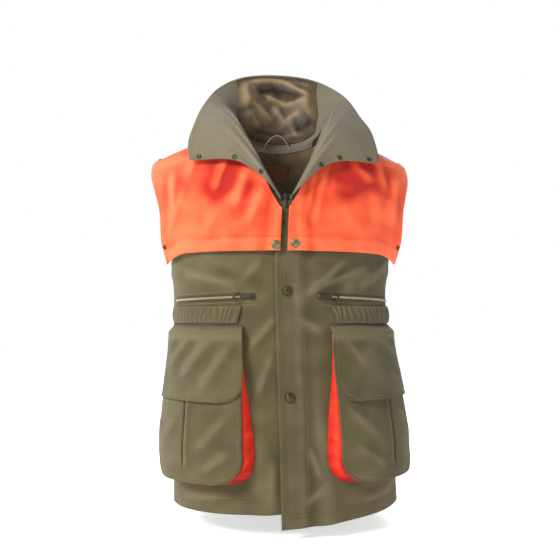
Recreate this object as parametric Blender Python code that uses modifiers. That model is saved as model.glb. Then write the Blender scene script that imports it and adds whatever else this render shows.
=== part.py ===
"""A hunting vest in olive canvas, filled out as if worn, with an orange yoke snapped over its shoulders.

The origin lies between the wearer's shoulders, level with the neck end of the shoulder seams. +X is the
wearer's left, -Y the front and +Z up. Every cloth piece is a thin wall on one figure surface, moved out by its
place in the layers.
"""

import math

import bpy
import numpy as np
from mathutils import Matrix, Vector

CM = 0.01
MM = 0.001

# Sizes of the cut, in centimetres
UNDERARM = -26.5
SHOULDER_TIP = (24.5, -8.0)
NECK_SIDE = 8.2
HEM_SIDE = -72.2
HEM_FRONT_RIGHT = -72.0
HEM_FRONT_LEFT = -74.6
HEM_BACK = -75.4
SEAM_GAP = 0.02

# Layers, in centimetres out from the figure surface
WALL = 0.16
ZIP_LIFT = 0.22
OVERLAP_LIFT = 0.50
YOKE_GAP = 0.33
YOKE_FLARE = 0.30
YOKE_ARMHOLE = 0.16
POCKET_TOP = 0.80

# Figure sections: height, half width, depth to the front and to the back, squareness, sideways drift (cm)
FIGURE_COLUMNS = ("height", "half_width", "front", "back", "squareness", "drift")
FIGURE = (
    (-76.0, 21.6, 13.6, 12.8, 2.40, 1.2),
    (-66.0, 21.4, 13.6, 12.6, 2.40, 1.0),
    (-52.0, 21.2, 13.5, 12.2, 2.40, 0.6),
    (-39.0, 20.8, 13.2, 11.8, 2.40, 0.2),
    (-34.0, 20.7, 13.1, 11.9, 2.40, 0.1),
    (-26.5, 21.3, 13.1, 12.5, 2.40, 0.0),
    (-24.0, 22.6, 13.0, 12.7, 2.35, 0.0),
    (-21.0, 24.2, 12.8, 12.9, 2.30, 0.0),
    (-17.0, 25.4, 12.4, 12.9, 2.25, 0.0),
    (-12.0, 25.4, 11.6, 12.4, 2.20, 0.0),
    (-8.0, 24.5, 10.6, 11.6, 2.15, 0.0),
    (-4.0, 16.35, 9.3, 10.2, 2.10, 0.0),
    (0.0, 8.2, 8.0, 8.9, 2.10, 0.0),
)

# Armhole edge, seen from the front: height and half width (cm)
ARMHOLE_COLUMNS = ("height", "x")
ARMHOLE = (
    (-26.5, 21.3),
    (-25.8, 21.05),
    (-24.5, 21.1),
    (-21.0, 22.0),
    (-17.0, 22.4),
    (-13.0, 23.5),
    (-10.0, 24.4),
    (-8.0, 24.5),
)

# Top edges: share across the piece, half width and height; the last rows run up the shoulder seam (cm)
TOP_COLUMNS = ("across", "x", "height")
TOP_FRONT_LEFT = (
    (0.00, -2.0, -16.7),
    (0.08, 0.9, -16.1),
    (0.16, 2.6, -12.7),
    (0.23, 4.6, -8.7),
    (0.30, 6.5, -4.4),
    (0.35, 7.6, -1.7),
    (0.39, 8.2, 0.0),
    (1.00, 24.5, -8.0),
)
TOP_FRONT_RIGHT = ((0.00, 0.5, -16.6),) + TOP_FRONT_LEFT[1:]
TOP_BACK = (
    (0.00, 0.0, -1.2),
    (0.12, 3.0, -1.05),
    (0.22, 5.5, -0.7),
    (0.31, 7.3, -0.3),
    (0.39, 8.2, 0.0),
    (1.00, 24.5, -8.0),
)
ACROSS = (0.0, 0.04, 0.08, 0.16, 0.23, 0.30, 0.35, 0.375, 0.39, 0.50, 0.61, 0.71, 0.81, 0.91, 1.0)

# Drape folds: on the back or not, both ends as distance from the centre line and height, then width and rise
FOLD_COLUMNS = ("back", "u0", "z0", "u1", "z1", "width", "rise")
FOLDS = (
    (1, 1.0, -22.0, 2.0, -48.0, 2.6, 0.9),
    (1, 2.0, -48.0, 7.5, -76.0, 3.0, 1.3),
    (1, -9.0, -24.0, -7.0, -60.0, 3.0, -0.6),
    (1, 12.5, -30.0, 10.0, -70.0, 2.6, -0.7),
    (1, -17.0, -34.0, -15.0, -76.0, 2.8, 0.6),
    (1, 17.5, -27.0, 9.0, -38.0, 2.0, 0.5),
    (0, -6.0, -56.0, -4.5, -74.0, 2.2, 0.6),
    (0, 5.0, -50.0, 6.5, -76.0, 2.2, 0.7),
    (0, 8.0, -27.0, 3.0, -34.0, 1.6, 0.35),
    (0, -14.0, -28.0, -5.0, -31.0, 1.7, -0.3),
    (0, 17.0, -27.5, 12.0, -31.5, 1.5, 0.3),
    (0, 12.0, -42.0, 20.0, -50.0, 2.2, 0.3),
)

# Collar stations from the V to the centre back: seam, height of the roll, middle and edge (cm)
COLLAR_COLUMNS = ("along", "seam_x", "seam_z", "roll", "mid_x", "mid_y", "mid_z", "edge_x", "edge_y", "edge_z")
COLLAR = (
    (0.00, 0.9, -16.0, 0.95, 8.2, -12.9, -9.6, 17.5, -10.7, -8.8),
    (0.13, 2.6, -12.7, 0.90, 9.2, -12.3, -6.6, 17.9, -9.2, -6.2),
    (0.26, 4.6, -8.7, 0.95, 10.0, -10.8, -3.0, 17.6, -6.6, -2.6),
    (0.40, 6.5, -4.4, 1.10, 10.7, -7.6, 0.3, 16.5, -2.9, 1.6),
    (0.52, 7.6, -1.7, 1.00, 11.2, -3.4, 3.2, 15.3, 0.4, 5.0),
    (0.62, 8.2, 0.0, 0.90, 11.0, 1.0, 5.2, 14.0, 3.6, 8.4),
    (0.74, 7.3, -0.3, 0.70, 9.4, 5.6, 6.8, 11.6, 7.6, 11.8),
    (0.86, 4.6, -0.85, 0.60, 5.8, 9.4, 7.8, 7.4, 11.2, 14.9),
    (1.00, 0.0, -1.2, 0.60, 0.0, 10.9, 8.2, 0.0, 12.9, 16.2),
)

# Cargo pocket on each side (cm)
POCKET_IN = 8.2
POCKET_OUT = 25.6
POCKET_HIGH = -40.4
POCKET_LOW = -66.4
POCKET_CORNER = 4.6
POCKET_DEEP = 3.0
PLEAT_AT = 18.2
GUSSET_LEAN = 1.9
FLAP_HIGH = -38.9
FLAP_LOW = -52.2
FLAP_CORNER = 3.6
BAND_HIGH = -35.2
BAND_LOW = -38.4
BAND_GATHERS = 13

# Slanted zip pockets (cm)
ZIP_IN = 5.6
ZIP_OUT = 22.5
ZIP_Z_IN = -33.5
ZIP_Z_OUT = -34.2
ZIP_OFF = 0.11

OLIVE = (0.118, 0.100, 0.052)
FACING = (0.150, 0.128, 0.078)
ORANGE = (0.95, 0.115, 0.030)
RED_ORANGE = (0.80, 0.045, 0.012)
BROWN = (0.120, 0.078, 0.040)
GREY = (0.16, 0.15, 0.13)
BRASS = (0.10, 0.085, 0.045)
PALE_BRASS = (0.30, 0.27, 0.15)
STEEL = (0.32, 0.30, 0.25)
BLACK = (0.015, 0.015, 0.015)

for leftover in list(bpy.data.objects):
    bpy.data.objects.remove(leftover, do_unlink=True)

vest = bpy.data.collections.new("hunting_vest")
bpy.context.scene.collection.children.link(vest)


def column(table, names, name):
    return np.array([row[names.index(name)] for row in table], float)


def through(xs, ys, x):
    """Smooth curve through the points (xs, ys), with no overshoot between them, read at x."""
    order = np.argsort(xs)
    xs, ys = np.asarray(xs, float)[order], np.asarray(ys, float)[order]
    x = np.clip(x, xs[0], xs[-1])
    step = np.diff(xs)
    slope = np.diff(ys) / step
    tangent = np.zeros_like(ys)
    tangent[0], tangent[-1] = slope[0], slope[-1]
    before, after = slope[:-1], slope[1:]
    agree = before * after > 0
    tangent[1:-1][agree] = (2 * before * after)[agree] / (before + after)[agree]
    i = np.clip(np.searchsorted(xs, x) - 1, 0, len(step) - 1)
    t = (x - xs[i]) / step[i]
    rise = ys[i + 1] - ys[i]
    bend = tangent[i] * step[i] - rise
    bend_after = -tangent[i + 1] * step[i] + rise
    return ys[i] + t * rise + t * (1 - t) * ((1 - t) * bend + t * bend_after)


def ease(t):
    t = np.clip(t, 0.0, 1.0)
    return t * t * (3 - 2 * t)


def figure(name, z):
    """One named size of the figure at height z, in centimetres."""
    heights = column(FIGURE, FIGURE_COLUMNS, "height")
    return through(heights, column(FIGURE, FIGURE_COLUMNS, name), z)


def half_width(z):
    """Half width at z: the shoulder line is straight above the shoulder tip."""
    straight = NECK_SIDE - np.minimum(z, 0.0) * (SHOULDER_TIP[0] - NECK_SIDE) / -SHOULDER_TIP[1]
    return np.where(z > SHOULDER_TIP[1], straight, figure("half_width", z))


def quarter(z, back):
    """Points of a quarter section from the centre line to the side, with the lengths along it."""
    z = np.asarray(z, float)
    turn = ease(np.linspace(0.0, 1.0, 65)) * math.pi / 2
    power = 2.0 / figure("squareness", z)[..., None]
    x = half_width(z)[..., None] * np.sin(turn) ** power
    y = figure("back" if back else "front", z)[..., None] * np.cos(turn) ** power
    length = np.hypot(np.diff(x, axis=-1), np.diff(y, axis=-1))
    length = np.concatenate([np.zeros_like(length[..., :1]), np.cumsum(length, axis=-1)], axis=-1)
    return x, y, length


def by_length(u, z, back):
    """Figure point u centimetres round from the centre line at height z."""
    u, z = np.broadcast_arrays(np.asarray(u, float), np.asarray(z, float))
    x, y, length = quarter(z, back)
    wanted = np.minimum(np.abs(u), length[..., -1])
    i = np.clip((length < wanted[..., None]).sum(-1) - 1, 0, length.shape[-1] - 2)[..., None]
    low, high = np.take_along_axis(length, i, -1), np.take_along_axis(length, i + 1, -1)
    t = (wanted[..., None] - low) / (high - low)
    px = (1 - t) * np.take_along_axis(x, i, -1) + t * np.take_along_axis(x, i + 1, -1)
    py = (1 - t) * np.take_along_axis(y, i, -1) + t * np.take_along_axis(y, i + 1, -1)
    px = px[..., 0] * np.sign(u) + figure("drift", z)
    return np.stack([px, py[..., 0] * (1 if back else -1), z], -1)


def by_width(x, z, back):
    """Figure point seen at x and z from the front or the back."""
    x, z = np.broadcast_arrays(np.asarray(x, float), np.asarray(z, float))
    n = figure("squareness", z)
    share = np.clip(np.abs(x) / half_width(z), 0.0, 1.0)
    y = figure("back" if back else "front", z) * (1 - share**n) ** (1 / n)
    return np.stack([x + figure("drift", z), y * (1 if back else -1), z], -1)


def reach(z, back):
    return quarter(z, back)[2][..., -1]


def folds(x, z, back):
    """Height of the drape folds at a point: each fold is a soft ridge or trough along a line."""
    rise = np.zeros(np.broadcast(x, z).shape)
    for row in FOLDS:
        fold = dict(zip(FOLD_COLUMNS, row))
        if bool(fold["back"]) != bool(back):
            continue
        run, drop = fold["u1"] - fold["u0"], fold["z1"] - fold["z0"]
        t = ((x - fold["u0"]) * run + (z - fold["z0"]) * drop) / (run * run + drop * drop)
        off = np.hypot(x - fold["u0"] - np.clip(t, 0, 1) * run, z - fold["z0"] - np.clip(t, 0, 1) * drop)
        rise = rise + fold["rise"] * np.exp(-((off / fold["width"]) ** 2)) * (0.35 + 0.65 * ease(t * 3))
    return rise * ease((-25.5 - z) / 5.0)


def overlap_lift(u):
    """The left front rises over the zip and the right front along the centre."""
    return OVERLAP_LIFT * (1 - ease((u - 1.6) / 2.6))


def moved_out(function, a, b, lift, sign):
    """Points of function(a, b) moved out by lift along the surface's own normal."""
    step = 1e-3
    across = function(a + step, b) - function(a - step, b)
    up = function(a, b + step) - function(a, b - step)
    normal = np.cross(across, up) * sign
    normal /= np.linalg.norm(normal, axis=-1, keepdims=True)
    return function(a, b) + normal * np.asarray(lift)[..., None]


def low_point(u, z, back, lift, rise=True):
    """Point of the lower body, moved out by the folds and by lift."""
    u, z = np.broadcast_arrays(np.asarray(u, float), np.asarray(z, float))
    edge = reach(z, back) - 2e-3
    u = np.clip(u, -edge, edge)
    out = np.asarray(lift) + (folds(u, z, back) if rise else 0.0)
    return moved_out(lambda a, b: by_length(a, b, back), u, z, out, -1 if back else 1)


def top_table(piece):
    return {"front_left": TOP_FRONT_LEFT, "front_right": TOP_FRONT_RIGHT, "back": TOP_BACK}[piece]


def high_place(piece, across, up):
    """Width and height at a share across and up the part of a piece above the underarm."""
    table = top_table(piece)
    back = piece == "back"
    stations = column(table, TOP_COLUMNS, "across")
    top_x = np.interp(across, stations, column(table, TOP_COLUMNS, "x"))
    top_z = np.interp(across, stations, column(table, TOP_COLUMNS, "height"))
    start = table[0][1]
    full = reach(np.array(UNDERARM), back)
    low_u = start + across * (full - start)
    low_x = by_length(low_u, UNDERARM, back)[..., 0]
    steep = 1.15 + 1.05 * ease(across / 0.39)
    z = top_z - (top_z - UNDERARM) * (1 - up) ** steep
    t = (z - UNDERARM) / (top_z - UNDERARM)
    x = low_x + t * (top_x - low_x)
    edge_z = SHOULDER_TIP[1] - (SHOULDER_TIP[1] - UNDERARM) * (1 - up) ** 2.2
    edge_t = (edge_z - UNDERARM) / (SHOULDER_TIP[1] - UNDERARM)
    side_x = figure("half_width", np.array(UNDERARM))
    arm_x = through(column(ARMHOLE, ARMHOLE_COLUMNS, "height"), column(ARMHOLE, ARMHOLE_COLUMNS, "x"), edge_z)
    bow = (np.maximum(across - 0.39, 0.0) / 0.61) ** 3
    return x + bow * (arm_x - side_x - edge_t * (SHOULDER_TIP[0] - side_x)), z


def high_point(piece, side, across, up, lift):
    """Point of the upper part of a piece, moved out by lift; side is +1 on the wearer's left, else -1."""
    across, up = np.broadcast_arrays(np.asarray(across, float), np.asarray(up, float))
    back = piece == "back"

    def place(a, b):
        a, b = np.clip(a, 0.0, 1.0), np.clip(b, 0.0, 0.9995)
        x, z = high_place(piece, a, b)
        point = by_width(x, z, back)
        return point * np.array([side, 1, 1])

    x, z = high_place(piece, across, up)
    out = np.asarray(lift) + folds(x * side, z, back)
    sign = side * (-1 if back else 1)
    return moved_out(place, across, up, out, sign)


def low_rows(piece, side, across, rows, lift):
    """Rows of a panel from its hem to the underarm."""
    back = piece == "back"
    hem = {"front_left": HEM_FRONT_LEFT, "front_right": HEM_FRONT_RIGHT, "back": HEM_BACK}[piece]
    start = top_table(piece)[0][1]
    a, t = np.meshgrid(across, rows)
    z_hem = hem + (HEM_SIDE - hem) * ease(a * 1.15)
    z = z_hem + (UNDERARM - z_hem) * t
    u = start + a * (reach(z, back) - SEAM_GAP - start)
    return low_point(u * side, z, back, lift(u * side, z))


def high_rows(piece, side, across, rows, lift):
    a, t = np.meshgrid(across, rows)
    x, z = high_place(piece, a, t)
    return high_point(piece, side, a, t, lift(x * side, z))


def material(name, colour, roughness, metallic=0.0):
    made = bpy.data.materials.get(name)
    if made is None:
        made = bpy.data.materials.new(name)
        made.use_nodes = True
        shader = made.node_tree.nodes["Principled BSDF"]
        shader.inputs["Base Color"].default_value = (*colour, 1.0)
        shader.inputs["Roughness"].default_value = roughness
        shader.inputs["Metallic"].default_value = metallic
    return made


def sheet(name, points, thickness, made_of, towards_back=False):
    """A cloth wall: an open grid of points (cm), thickened outwards with Solidify."""
    points = np.asarray(points) * CM
    if towards_back:
        points = points[:, ::-1]
    rows, columns = points.shape[:2]
    index = np.arange(rows * columns).reshape(rows, columns)
    quads = np.stack([index[:-1, :-1], index[:-1, 1:], index[1:, 1:], index[1:, :-1]], -1).reshape(-1, 4)
    mesh = bpy.data.meshes.new(name)
    mesh.from_pydata(points.reshape(-1, 3).tolist(), [], quads.tolist())
    mesh.shade_smooth()
    obj = bpy.data.objects.new(name, mesh)
    vest.objects.link(obj)
    wall = obj.modifiers.new("wall", "SOLIDIFY")
    wall.thickness = thickness * CM
    wall.offset = 1.0
    mesh.materials.append(made_of)
    return obj


olive = material("olive_canvas", OLIVE, 0.85)
facing = material("olive_facing", FACING, 0.85)
orange = material("orange_cloth", ORANGE, 0.80)
gusset_cloth = material("red_orange_cloth", RED_ORANGE, 0.80)
lining_cloth = material("brown_lining", BROWN, 0.70)
binding_cloth = material("grey_binding", GREY, 0.85)
dark_brass = material("dark_brass", BRASS, 0.40, 0.9)
pale_brass = material("pale_brass", PALE_BRASS, 0.40, 0.9)
steel = material("zip_metal", STEEL, 0.35, 0.9)
black = material("black_enamel", BLACK, 0.35)

# Fronts and back: rows from the hem to the underarm, then up to the neck and shoulder seam
LOW_ROWS = np.linspace(0.0, 1.0, 8)
HIGH_ROWS = np.concatenate([[0.018, 0.045], np.linspace(0.0, 1.0, 14)[1:]])
HIGH_ROWS[-1] = 0.9985


def panel(piece, side, lift, across=ACROSS):
    low = low_rows(piece, side, np.array(across), LOW_ROWS, lift)
    high = high_rows(piece, side, np.array(across), HIGH_ROWS, lift)
    return np.concatenate([low, high])


def flat_lift(u, z):
    return np.zeros(np.shape(u))


def left_lift(u, z):
    return overlap_lift(u)


sheet("front_left", panel("front_left", 1, left_lift), WALL, olive)
sheet("front_right", panel("front_right", -1, flat_lift), WALL, olive, towards_back=True)

BACK_ACROSS = (0.0, 0.10, 0.20, 0.30, 0.35, 0.39, 0.50, 0.61, 0.71, 0.81, 0.91, 1.0)
back_left = panel("back", 1, flat_lift, BACK_ACROSS)
back_right = panel("back", -1, flat_lift, BACK_ACROSS)
back_points = np.concatenate([back_right[:, ::-1], back_left[:, 1:]], axis=1)
sheet("back", back_points, WALL, olive, towards_back=True)


# Yoke: three pieces over the shoulders, on the panels' own points
def yoke_lift(u, z):
    """Clear of the panel, higher over the placket at the centre front."""
    return WALL + YOKE_GAP + (OVERLAP_LIFT + 0.06) * (1 - ease((np.abs(u) - 2.3) / 2.6))


def back_yoke_lift(u, z):
    return np.full(np.shape(u), WALL + YOKE_GAP)


def height_share(piece, across, z):
    """Share up the upper part at which a column reaches height z."""
    table = top_table(piece)
    top_z = np.interp(across, column(table, TOP_COLUMNS, "across"), column(table, TOP_COLUMNS, "height"))
    steep = 1.15 + 1.05 * ease(across / 0.39)
    return 1 - ((top_z - z) / (top_z - UNDERARM)) ** (1 / steep)


# How far up each column the yoke reaches where its neck edge meets the shoulder seam
YOKE_NECK_ACROSS = (0.35, 0.39, 0.42, 0.45)
YOKE_NECK_UP = (0.78, 0.85, 0.93, 0.9985)


def yoke(piece, side, across, lower, neck, lift):
    """Yoke piece from its lower edge up to the neck edge or the shoulder seam."""
    across = np.array(across)
    bottom = height_share(piece, across, lower(across))
    table = top_table(piece)
    top_z = np.interp(across, column(table, TOP_COLUMNS, "across"), column(table, TOP_COLUMNS, "height"))
    top = np.interp(across, YOKE_NECK_ACROSS, YOKE_NECK_UP)
    top = np.where(across < 0.36, height_share(piece, across, top_z - neck), top)
    t = np.array([0.0, 0.03, 0.08, 0.16, 0.27, 0.38, 0.50, 0.62, 0.73, 0.83, 0.92, 1.0])[:, None]
    up = bottom + (top - bottom) * t
    a = np.broadcast_to(across, up.shape)
    x, z = high_place(piece, a, up)
    flare = (YOKE_FLARE + 0.16 * ease((across - 0.75) / 0.2)) * (1 - t) ** 1.5 + 0.34 * t**3
    flare = flare + YOKE_ARMHOLE * ease((across - 0.86) / 0.14) * (1 - t) ** 0.5
    return high_point(piece, side, a, up, lift(x * side, z) + flare)


def front_yoke_edge(across):
    return -25.4 + 0.75 * ease((across - 0.86) / 0.14)


def back_yoke_edge(across):
    return -20.6 - 1.4 * ease((across - 0.70) / 0.30)


YOKE_LEFT_ACROSS = (0.085, 0.12, 0.16, 0.23, 0.30, 0.35, 0.39, 0.42, 0.45, 0.53, 0.62, 0.71, 0.81, 0.91, 1.0)
YOKE_RIGHT_ACROSS = (0.040, 0.08, 0.16, 0.23, 0.30, 0.35, 0.39, 0.42, 0.45, 0.53, 0.62, 0.71, 0.81, 0.91, 1.0)
YOKE_BACK_ACROSS = (0.0, 0.10, 0.20, 0.30, 0.35, 0.39, 0.42, 0.45, 0.53, 0.62, 0.71, 0.81, 0.91, 1.0)
NECK_CLEAR = 1.3
NECK_CLEAR_BACK = 0.7
sheet(
    "yoke_front_left",
    yoke("front_left", 1, YOKE_LEFT_ACROSS, front_yoke_edge, NECK_CLEAR, yoke_lift),
    WALL,
    orange,
)
sheet(
    "yoke_front_right",
    yoke("front_right", -1, YOKE_RIGHT_ACROSS, front_yoke_edge, NECK_CLEAR, yoke_lift),
    WALL,
    orange,
    towards_back=True,
)
yoke_left = yoke("back", 1, YOKE_BACK_ACROSS, back_yoke_edge, NECK_CLEAR_BACK, back_yoke_lift)
yoke_right = yoke("back", -1, YOKE_BACK_ACROSS, back_yoke_edge, NECK_CLEAR_BACK, back_yoke_lift)
yoke_points = np.concatenate([yoke_right[:, ::-1], yoke_left[:, 1:]], axis=1)
sheet("yoke_back", yoke_points, WALL, orange, towards_back=True)


# Height of the collar's seam over the edge of the panels, from the V round to the centre back
SEAM_STATIONS = (0.0, 0.13, 0.26, 0.45, 0.62, 0.74, 0.86, 1.0)
SEAM_LIFTS = (1.06, 1.00, 0.64, 0.72, 0.86, 0.36, 0.14, 0.06)


# Collar: from the V of one side round the back of the neck to the V of the other side
def collar_points(along, up, out):
    """Collar surface: along goes -1 to 1 with 0 at the centre back, up from the seam to the free edge."""
    along, up = np.meshgrid(along, up)
    station = 1.0 - np.abs(along)
    side = np.sign(along)
    at = column(COLLAR, COLLAR_COLUMNS, "along")

    def read(name):
        return through(at, column(COLLAR, COLLAR_COLUMNS, name), station)

    seam_x = np.interp(station, at, column(COLLAR, COLLAR_COLUMNS, "seam_x"))
    seam_z = np.interp(station, at, column(COLLAR, COLLAR_COLUMNS, "seam_z"))
    back = station > 0.62
    front_seam = by_width(np.minimum(seam_x, half_width(seam_z)), seam_z, False)
    back_seam = by_width(np.minimum(seam_x, half_width(seam_z)), seam_z, True)
    seam = np.where(back[..., None], back_seam, front_seam)
    forward = np.where(back, 0.0, seam[..., 1])
    outward = np.stack([seam[..., 0] * np.where(back, 0.0, 0.25), forward, np.full(seam_x.shape, 3.0)], -1)
    outward /= np.linalg.norm(outward, axis=-1, keepdims=True)
    base = np.interp(station, SEAM_STATIONS, SEAM_LIFTS)
    low = seam + outward * base[..., None]
    middle = np.stack([read("mid_x"), read("mid_y"), read("mid_z")], -1)
    edge = np.stack([read("edge_x"), read("edge_y"), read("edge_z")], -1)
    run = middle - low
    run /= np.linalg.norm(run, axis=-1, keepdims=True)
    roll = low + outward * read("roll")[..., None] + run * 0.8
    parts = np.stack([low, roll, middle, edge])
    knots = np.array([0.0, 0.10, 0.52, 1.0])
    i = np.clip(np.searchsorted(knots, up) - 1, 0, 2)
    t = (up - knots[i]) / (knots[i + 1] - knots[i])
    slopes = np.stack(
        [
            (parts[1] - parts[0]) / 0.10,
            ((parts[1] - parts[0]) / 0.10 * 0.42 + (parts[2] - parts[1]) / 0.42 * 0.10) / 0.52,
            (parts[3] - parts[1]) / 0.90,
            (parts[3] - parts[2]) / 0.48,
        ]
    )

    def pick(values, index):
        return np.take_along_axis(values, index[None, ..., None], 0)[0]

    h = (knots[i + 1] - knots[i])[..., None]
    t = t[..., None]
    p0, p1 = pick(parts, i), pick(parts, i + 1)
    m0, m1 = pick(slopes, i) * h, pick(slopes, i + 1) * h
    point = (
        (2 * t**3 - 3 * t**2 + 1) * p0
        + (t**3 - 2 * t**2 + t) * m0
        + (3 * t**2 - 2 * t**3) * p1
        + (t**3 - t**2) * m1
    )
    point = point * np.stack([np.where(side == 0, 1, side), np.ones_like(side), np.ones_like(side)], -1)
    d_row = np.gradient(point, axis=0)
    d_column = np.gradient(point, axis=1)
    normal = np.cross(d_column, d_row)
    normal /= np.linalg.norm(normal, axis=-1, keepdims=True)
    return point + normal * np.asarray(out)[..., None]


COLLAR_ALONG = np.linspace(-1.0, 1.0, 29)
COLLAR_UP = np.array([0.0, 0.05, 0.10, 0.15, 0.22, 0.34, 0.48, 0.64, 0.82, 1.0])
COLLAR_WALL = 0.13
sheet("collar_outer", collar_points(COLLAR_ALONG, COLLAR_UP, -0.16), COLLAR_WALL, orange)
sheet("collar_facing", collar_points(COLLAR_ALONG, COLLAR_UP, 0.0), COLLAR_WALL, facing)


COLLAR_TURN = 0.30
LINING_ALONG = np.linspace(-COLLAR_TURN, COLLAR_TURN, 13)
LINING_UP = np.array([0.06, 0.2, 0.36, 0.52, 0.68, 0.84, 0.97])
crumple = 0.28 * np.abs(np.sin(LINING_ALONG[None, :] * 17 + LINING_UP[:, None] * 5))
crumple = crumple * np.abs(np.cos(LINING_UP[:, None] * 6 - LINING_ALONG[None, :] * 9))
sheet("collar_lining", collar_points(LINING_ALONG, LINING_UP, 0.28 + crumple), COLLAR_WALL, lining_cloth)


# Inside of the back below the collar: brown lining, its plain label, the grey binding over the neck seam
def inner_back(name, half, high, low, depth, thickness, made_of, rows, columns):
    x, z = np.meshgrid(np.linspace(-half, half, columns), np.linspace(low, high, rows))
    points = by_width(x, z, True)
    outward = np.stack([x * 0.35, np.full(x.shape, 9.0), np.full(x.shape, 1.5)], -1)
    outward /= np.linalg.norm(outward, axis=-1, keepdims=True)
    return sheet(name, points - outward * depth, thickness, made_of, towards_back=True)


inner_back("back_lining", 8.6, -3.6, -17.0, 0.34, 0.12, lining_cloth, 5, 9)
inner_back("label", 2.6, -4.6, -8.6, 0.58, 0.10, facing, 3, 4)
inner_back("neck_binding", 5.4, -1.75, -2.9, 0.44, 0.16, binding_cloth, 3, 9)


# Cargo pockets, their gussets, flaps and gathered bands
def pocket_width(z, corner_in, corner_out):
    """Inner and outer edge of the pocket at height z, with its lower corners rounded."""
    below_in = np.clip((POCKET_LOW + corner_in - z) / corner_in, 0, 1)
    below_out = np.clip((POCKET_LOW + corner_out - z) / corner_out, 0, 1)
    inner = POCKET_IN + corner_in * (1 - np.sqrt(1 - below_in**2))
    outer = POCKET_OUT - corner_out * (1 - np.sqrt(1 - below_out**2))
    return inner, outer


def pocket_depth(u, z):
    """How far the pocket's face stands off the front: shallow at its mouth, deepest low down."""
    down = np.clip((POCKET_HIGH - z) / (POCKET_HIGH - POCKET_LOW), 0, 1)
    return POCKET_TOP + (POCKET_DEEP - POCKET_TOP) * ease(down * 1.25)


def pleat(u, z):
    """The pleat is a narrow trough down the face, from under the flap to near the bottom."""
    return -0.45 * np.exp(-(((u - PLEAT_AT) / 0.35) ** 2)) * ease((z - POCKET_LOW - 1.0) / 4.0)


FACE_ROWS = POCKET_HIGH + (POCKET_LOW - POCKET_HIGH) * np.array(
    [0.0, 0.17, 0.34, 0.51, 0.68, 0.82, 0.89, 0.94, 0.98, 1.0]
)
FACE_ACROSS = np.array([0.0, 0.12, 0.26, 0.40, 0.53, 0.56, 0.58, 0.60, 0.63, 0.72, 0.82, 0.91, 1.0])


def pocket_face(side):
    inner, outer = pocket_width(FACE_ROWS, POCKET_CORNER, POCKET_CORNER * 0.8)
    u = inner[:, None] + (outer - inner)[:, None] * FACE_ACROSS[None, :]
    z = np.broadcast_to(FACE_ROWS[:, None], u.shape)
    return low_point(u * side, z, False, pocket_depth(u, z) + pleat(u, z))


def pocket_rim(side):
    """The pocket's edge from the inner top round the bottom to the outer top: distance, height and lean."""
    rows = FACE_ROWS
    inner, outer = pocket_width(rows, POCKET_CORNER, POCKET_CORNER * 0.8)
    across = np.linspace(0.0, 1.0, 9)[1:-1]
    u = np.concatenate([inner, inner[-1] + (outer[-1] - inner[-1]) * across, outer[::-1]])
    z = np.concatenate([rows, np.full(len(across), POCKET_LOW), rows[::-1]])
    return u, z


def gusset(side):
    """Bellows strip from the face's edge back to the front: it leans away from the pocket and tucks in."""
    u, z = pocket_rim(side)
    middle_u, middle_z = 0.5 * (POCKET_IN + POCKET_OUT), POCKET_HIGH - 8.0
    down = ease(np.clip((POCKET_HIGH - z) / (POCKET_HIGH - POCKET_LOW), 0, 1) * 1.2)
    away_u = np.where(u < middle_u, -1.0, 1.0) * np.where(np.abs(u - middle_u) > 4.5, 1.0, 0.0)
    away_z = np.where(z < POCKET_LOW + 3.0, -0.5, 0.0)
    lean = GUSSET_LEAN * (0.25 + 0.75 * down)
    lean = np.where(u < middle_u, lean, lean * 0.45)
    top = pocket_depth(u, z) - 0.13
    root_u, root_z = u + away_u * lean, z + away_z * lean * 0.6
    strips = []
    for share, tuck in ((1.0, 0.0), (0.5, 0.35), (0.0, 0.0)):
        pu = u + (root_u - u) * (1 - share) - away_u * tuck * down
        pz = z + (root_z - z) * (1 - share) + np.where(away_u == 0, tuck * down, 0.0)
        foot = WALL + 0.14
        lift = foot + (top - foot) * share
        strips.append(low_point(pu * side, pz, False, lift))
    return np.stack(strips)


def flap(side):
    """The flap lies over the pocket's mouth; its inner lower corner is rounded."""
    down = np.array([0.0, 0.06, 0.12, 0.30, 0.52, 0.72, 0.84, 0.93, 0.98, 1.0])
    z_line = FLAP_HIGH + (FLAP_LOW - FLAP_HIGH) * down
    below = np.clip((FLAP_LOW + FLAP_CORNER - z_line) / FLAP_CORNER, 0, 1)
    inner = POCKET_IN - 0.35 + FLAP_CORNER * (1 - np.sqrt(1 - below**2))
    outer = np.full(len(down), POCKET_OUT - 0.4)
    across = np.array([0.0, 0.10, 0.22, 0.36, 0.48, 0.58, 0.68, 0.78, 0.90, 1.0])
    u = inner[:, None] + (outer - inner)[:, None] * across[None, :]
    z = np.broadcast_to(z_line[:, None], u.shape)
    lift = pocket_depth(u, z) + WALL + 0.46 + 0.18 * np.sin(u * 0.55) * ease((FLAP_HIGH - z) / 5.0)
    root = WALL + 0.08
    lift = root + (lift - root) * ease((FLAP_HIGH - z) / 1.3)
    return low_point(u * side, z, False, lift)


def band(side):
    """Gathered band between the zip and the flap: a wave across it makes the gathers."""
    count = BAND_GATHERS * 3 + 1
    across = np.linspace(0.0, 1.0, count)
    t = np.array([0.0, 0.5, 1.0])
    z = BAND_HIGH + (BAND_LOW - BAND_HIGH) * t[:, None] - 0.1 * across[None, :]
    inner = 8.0 + 0.9 * t[:, None]
    u = inner + (24.5 - inner) * across[None, :]
    wave = 0.5 - 0.5 * np.cos(across * BAND_GATHERS * 2 * math.pi)
    lift = WALL + 0.13 + 0.20 * wave[None, :] * np.sin(t * math.pi)[:, None] ** 0.7
    return low_point(u * side, z, False, lift)


def zip_height(u):
    return ZIP_Z_IN + (ZIP_Z_OUT - ZIP_Z_IN) * (u - ZIP_IN) / (ZIP_OUT - ZIP_IN)


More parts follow.
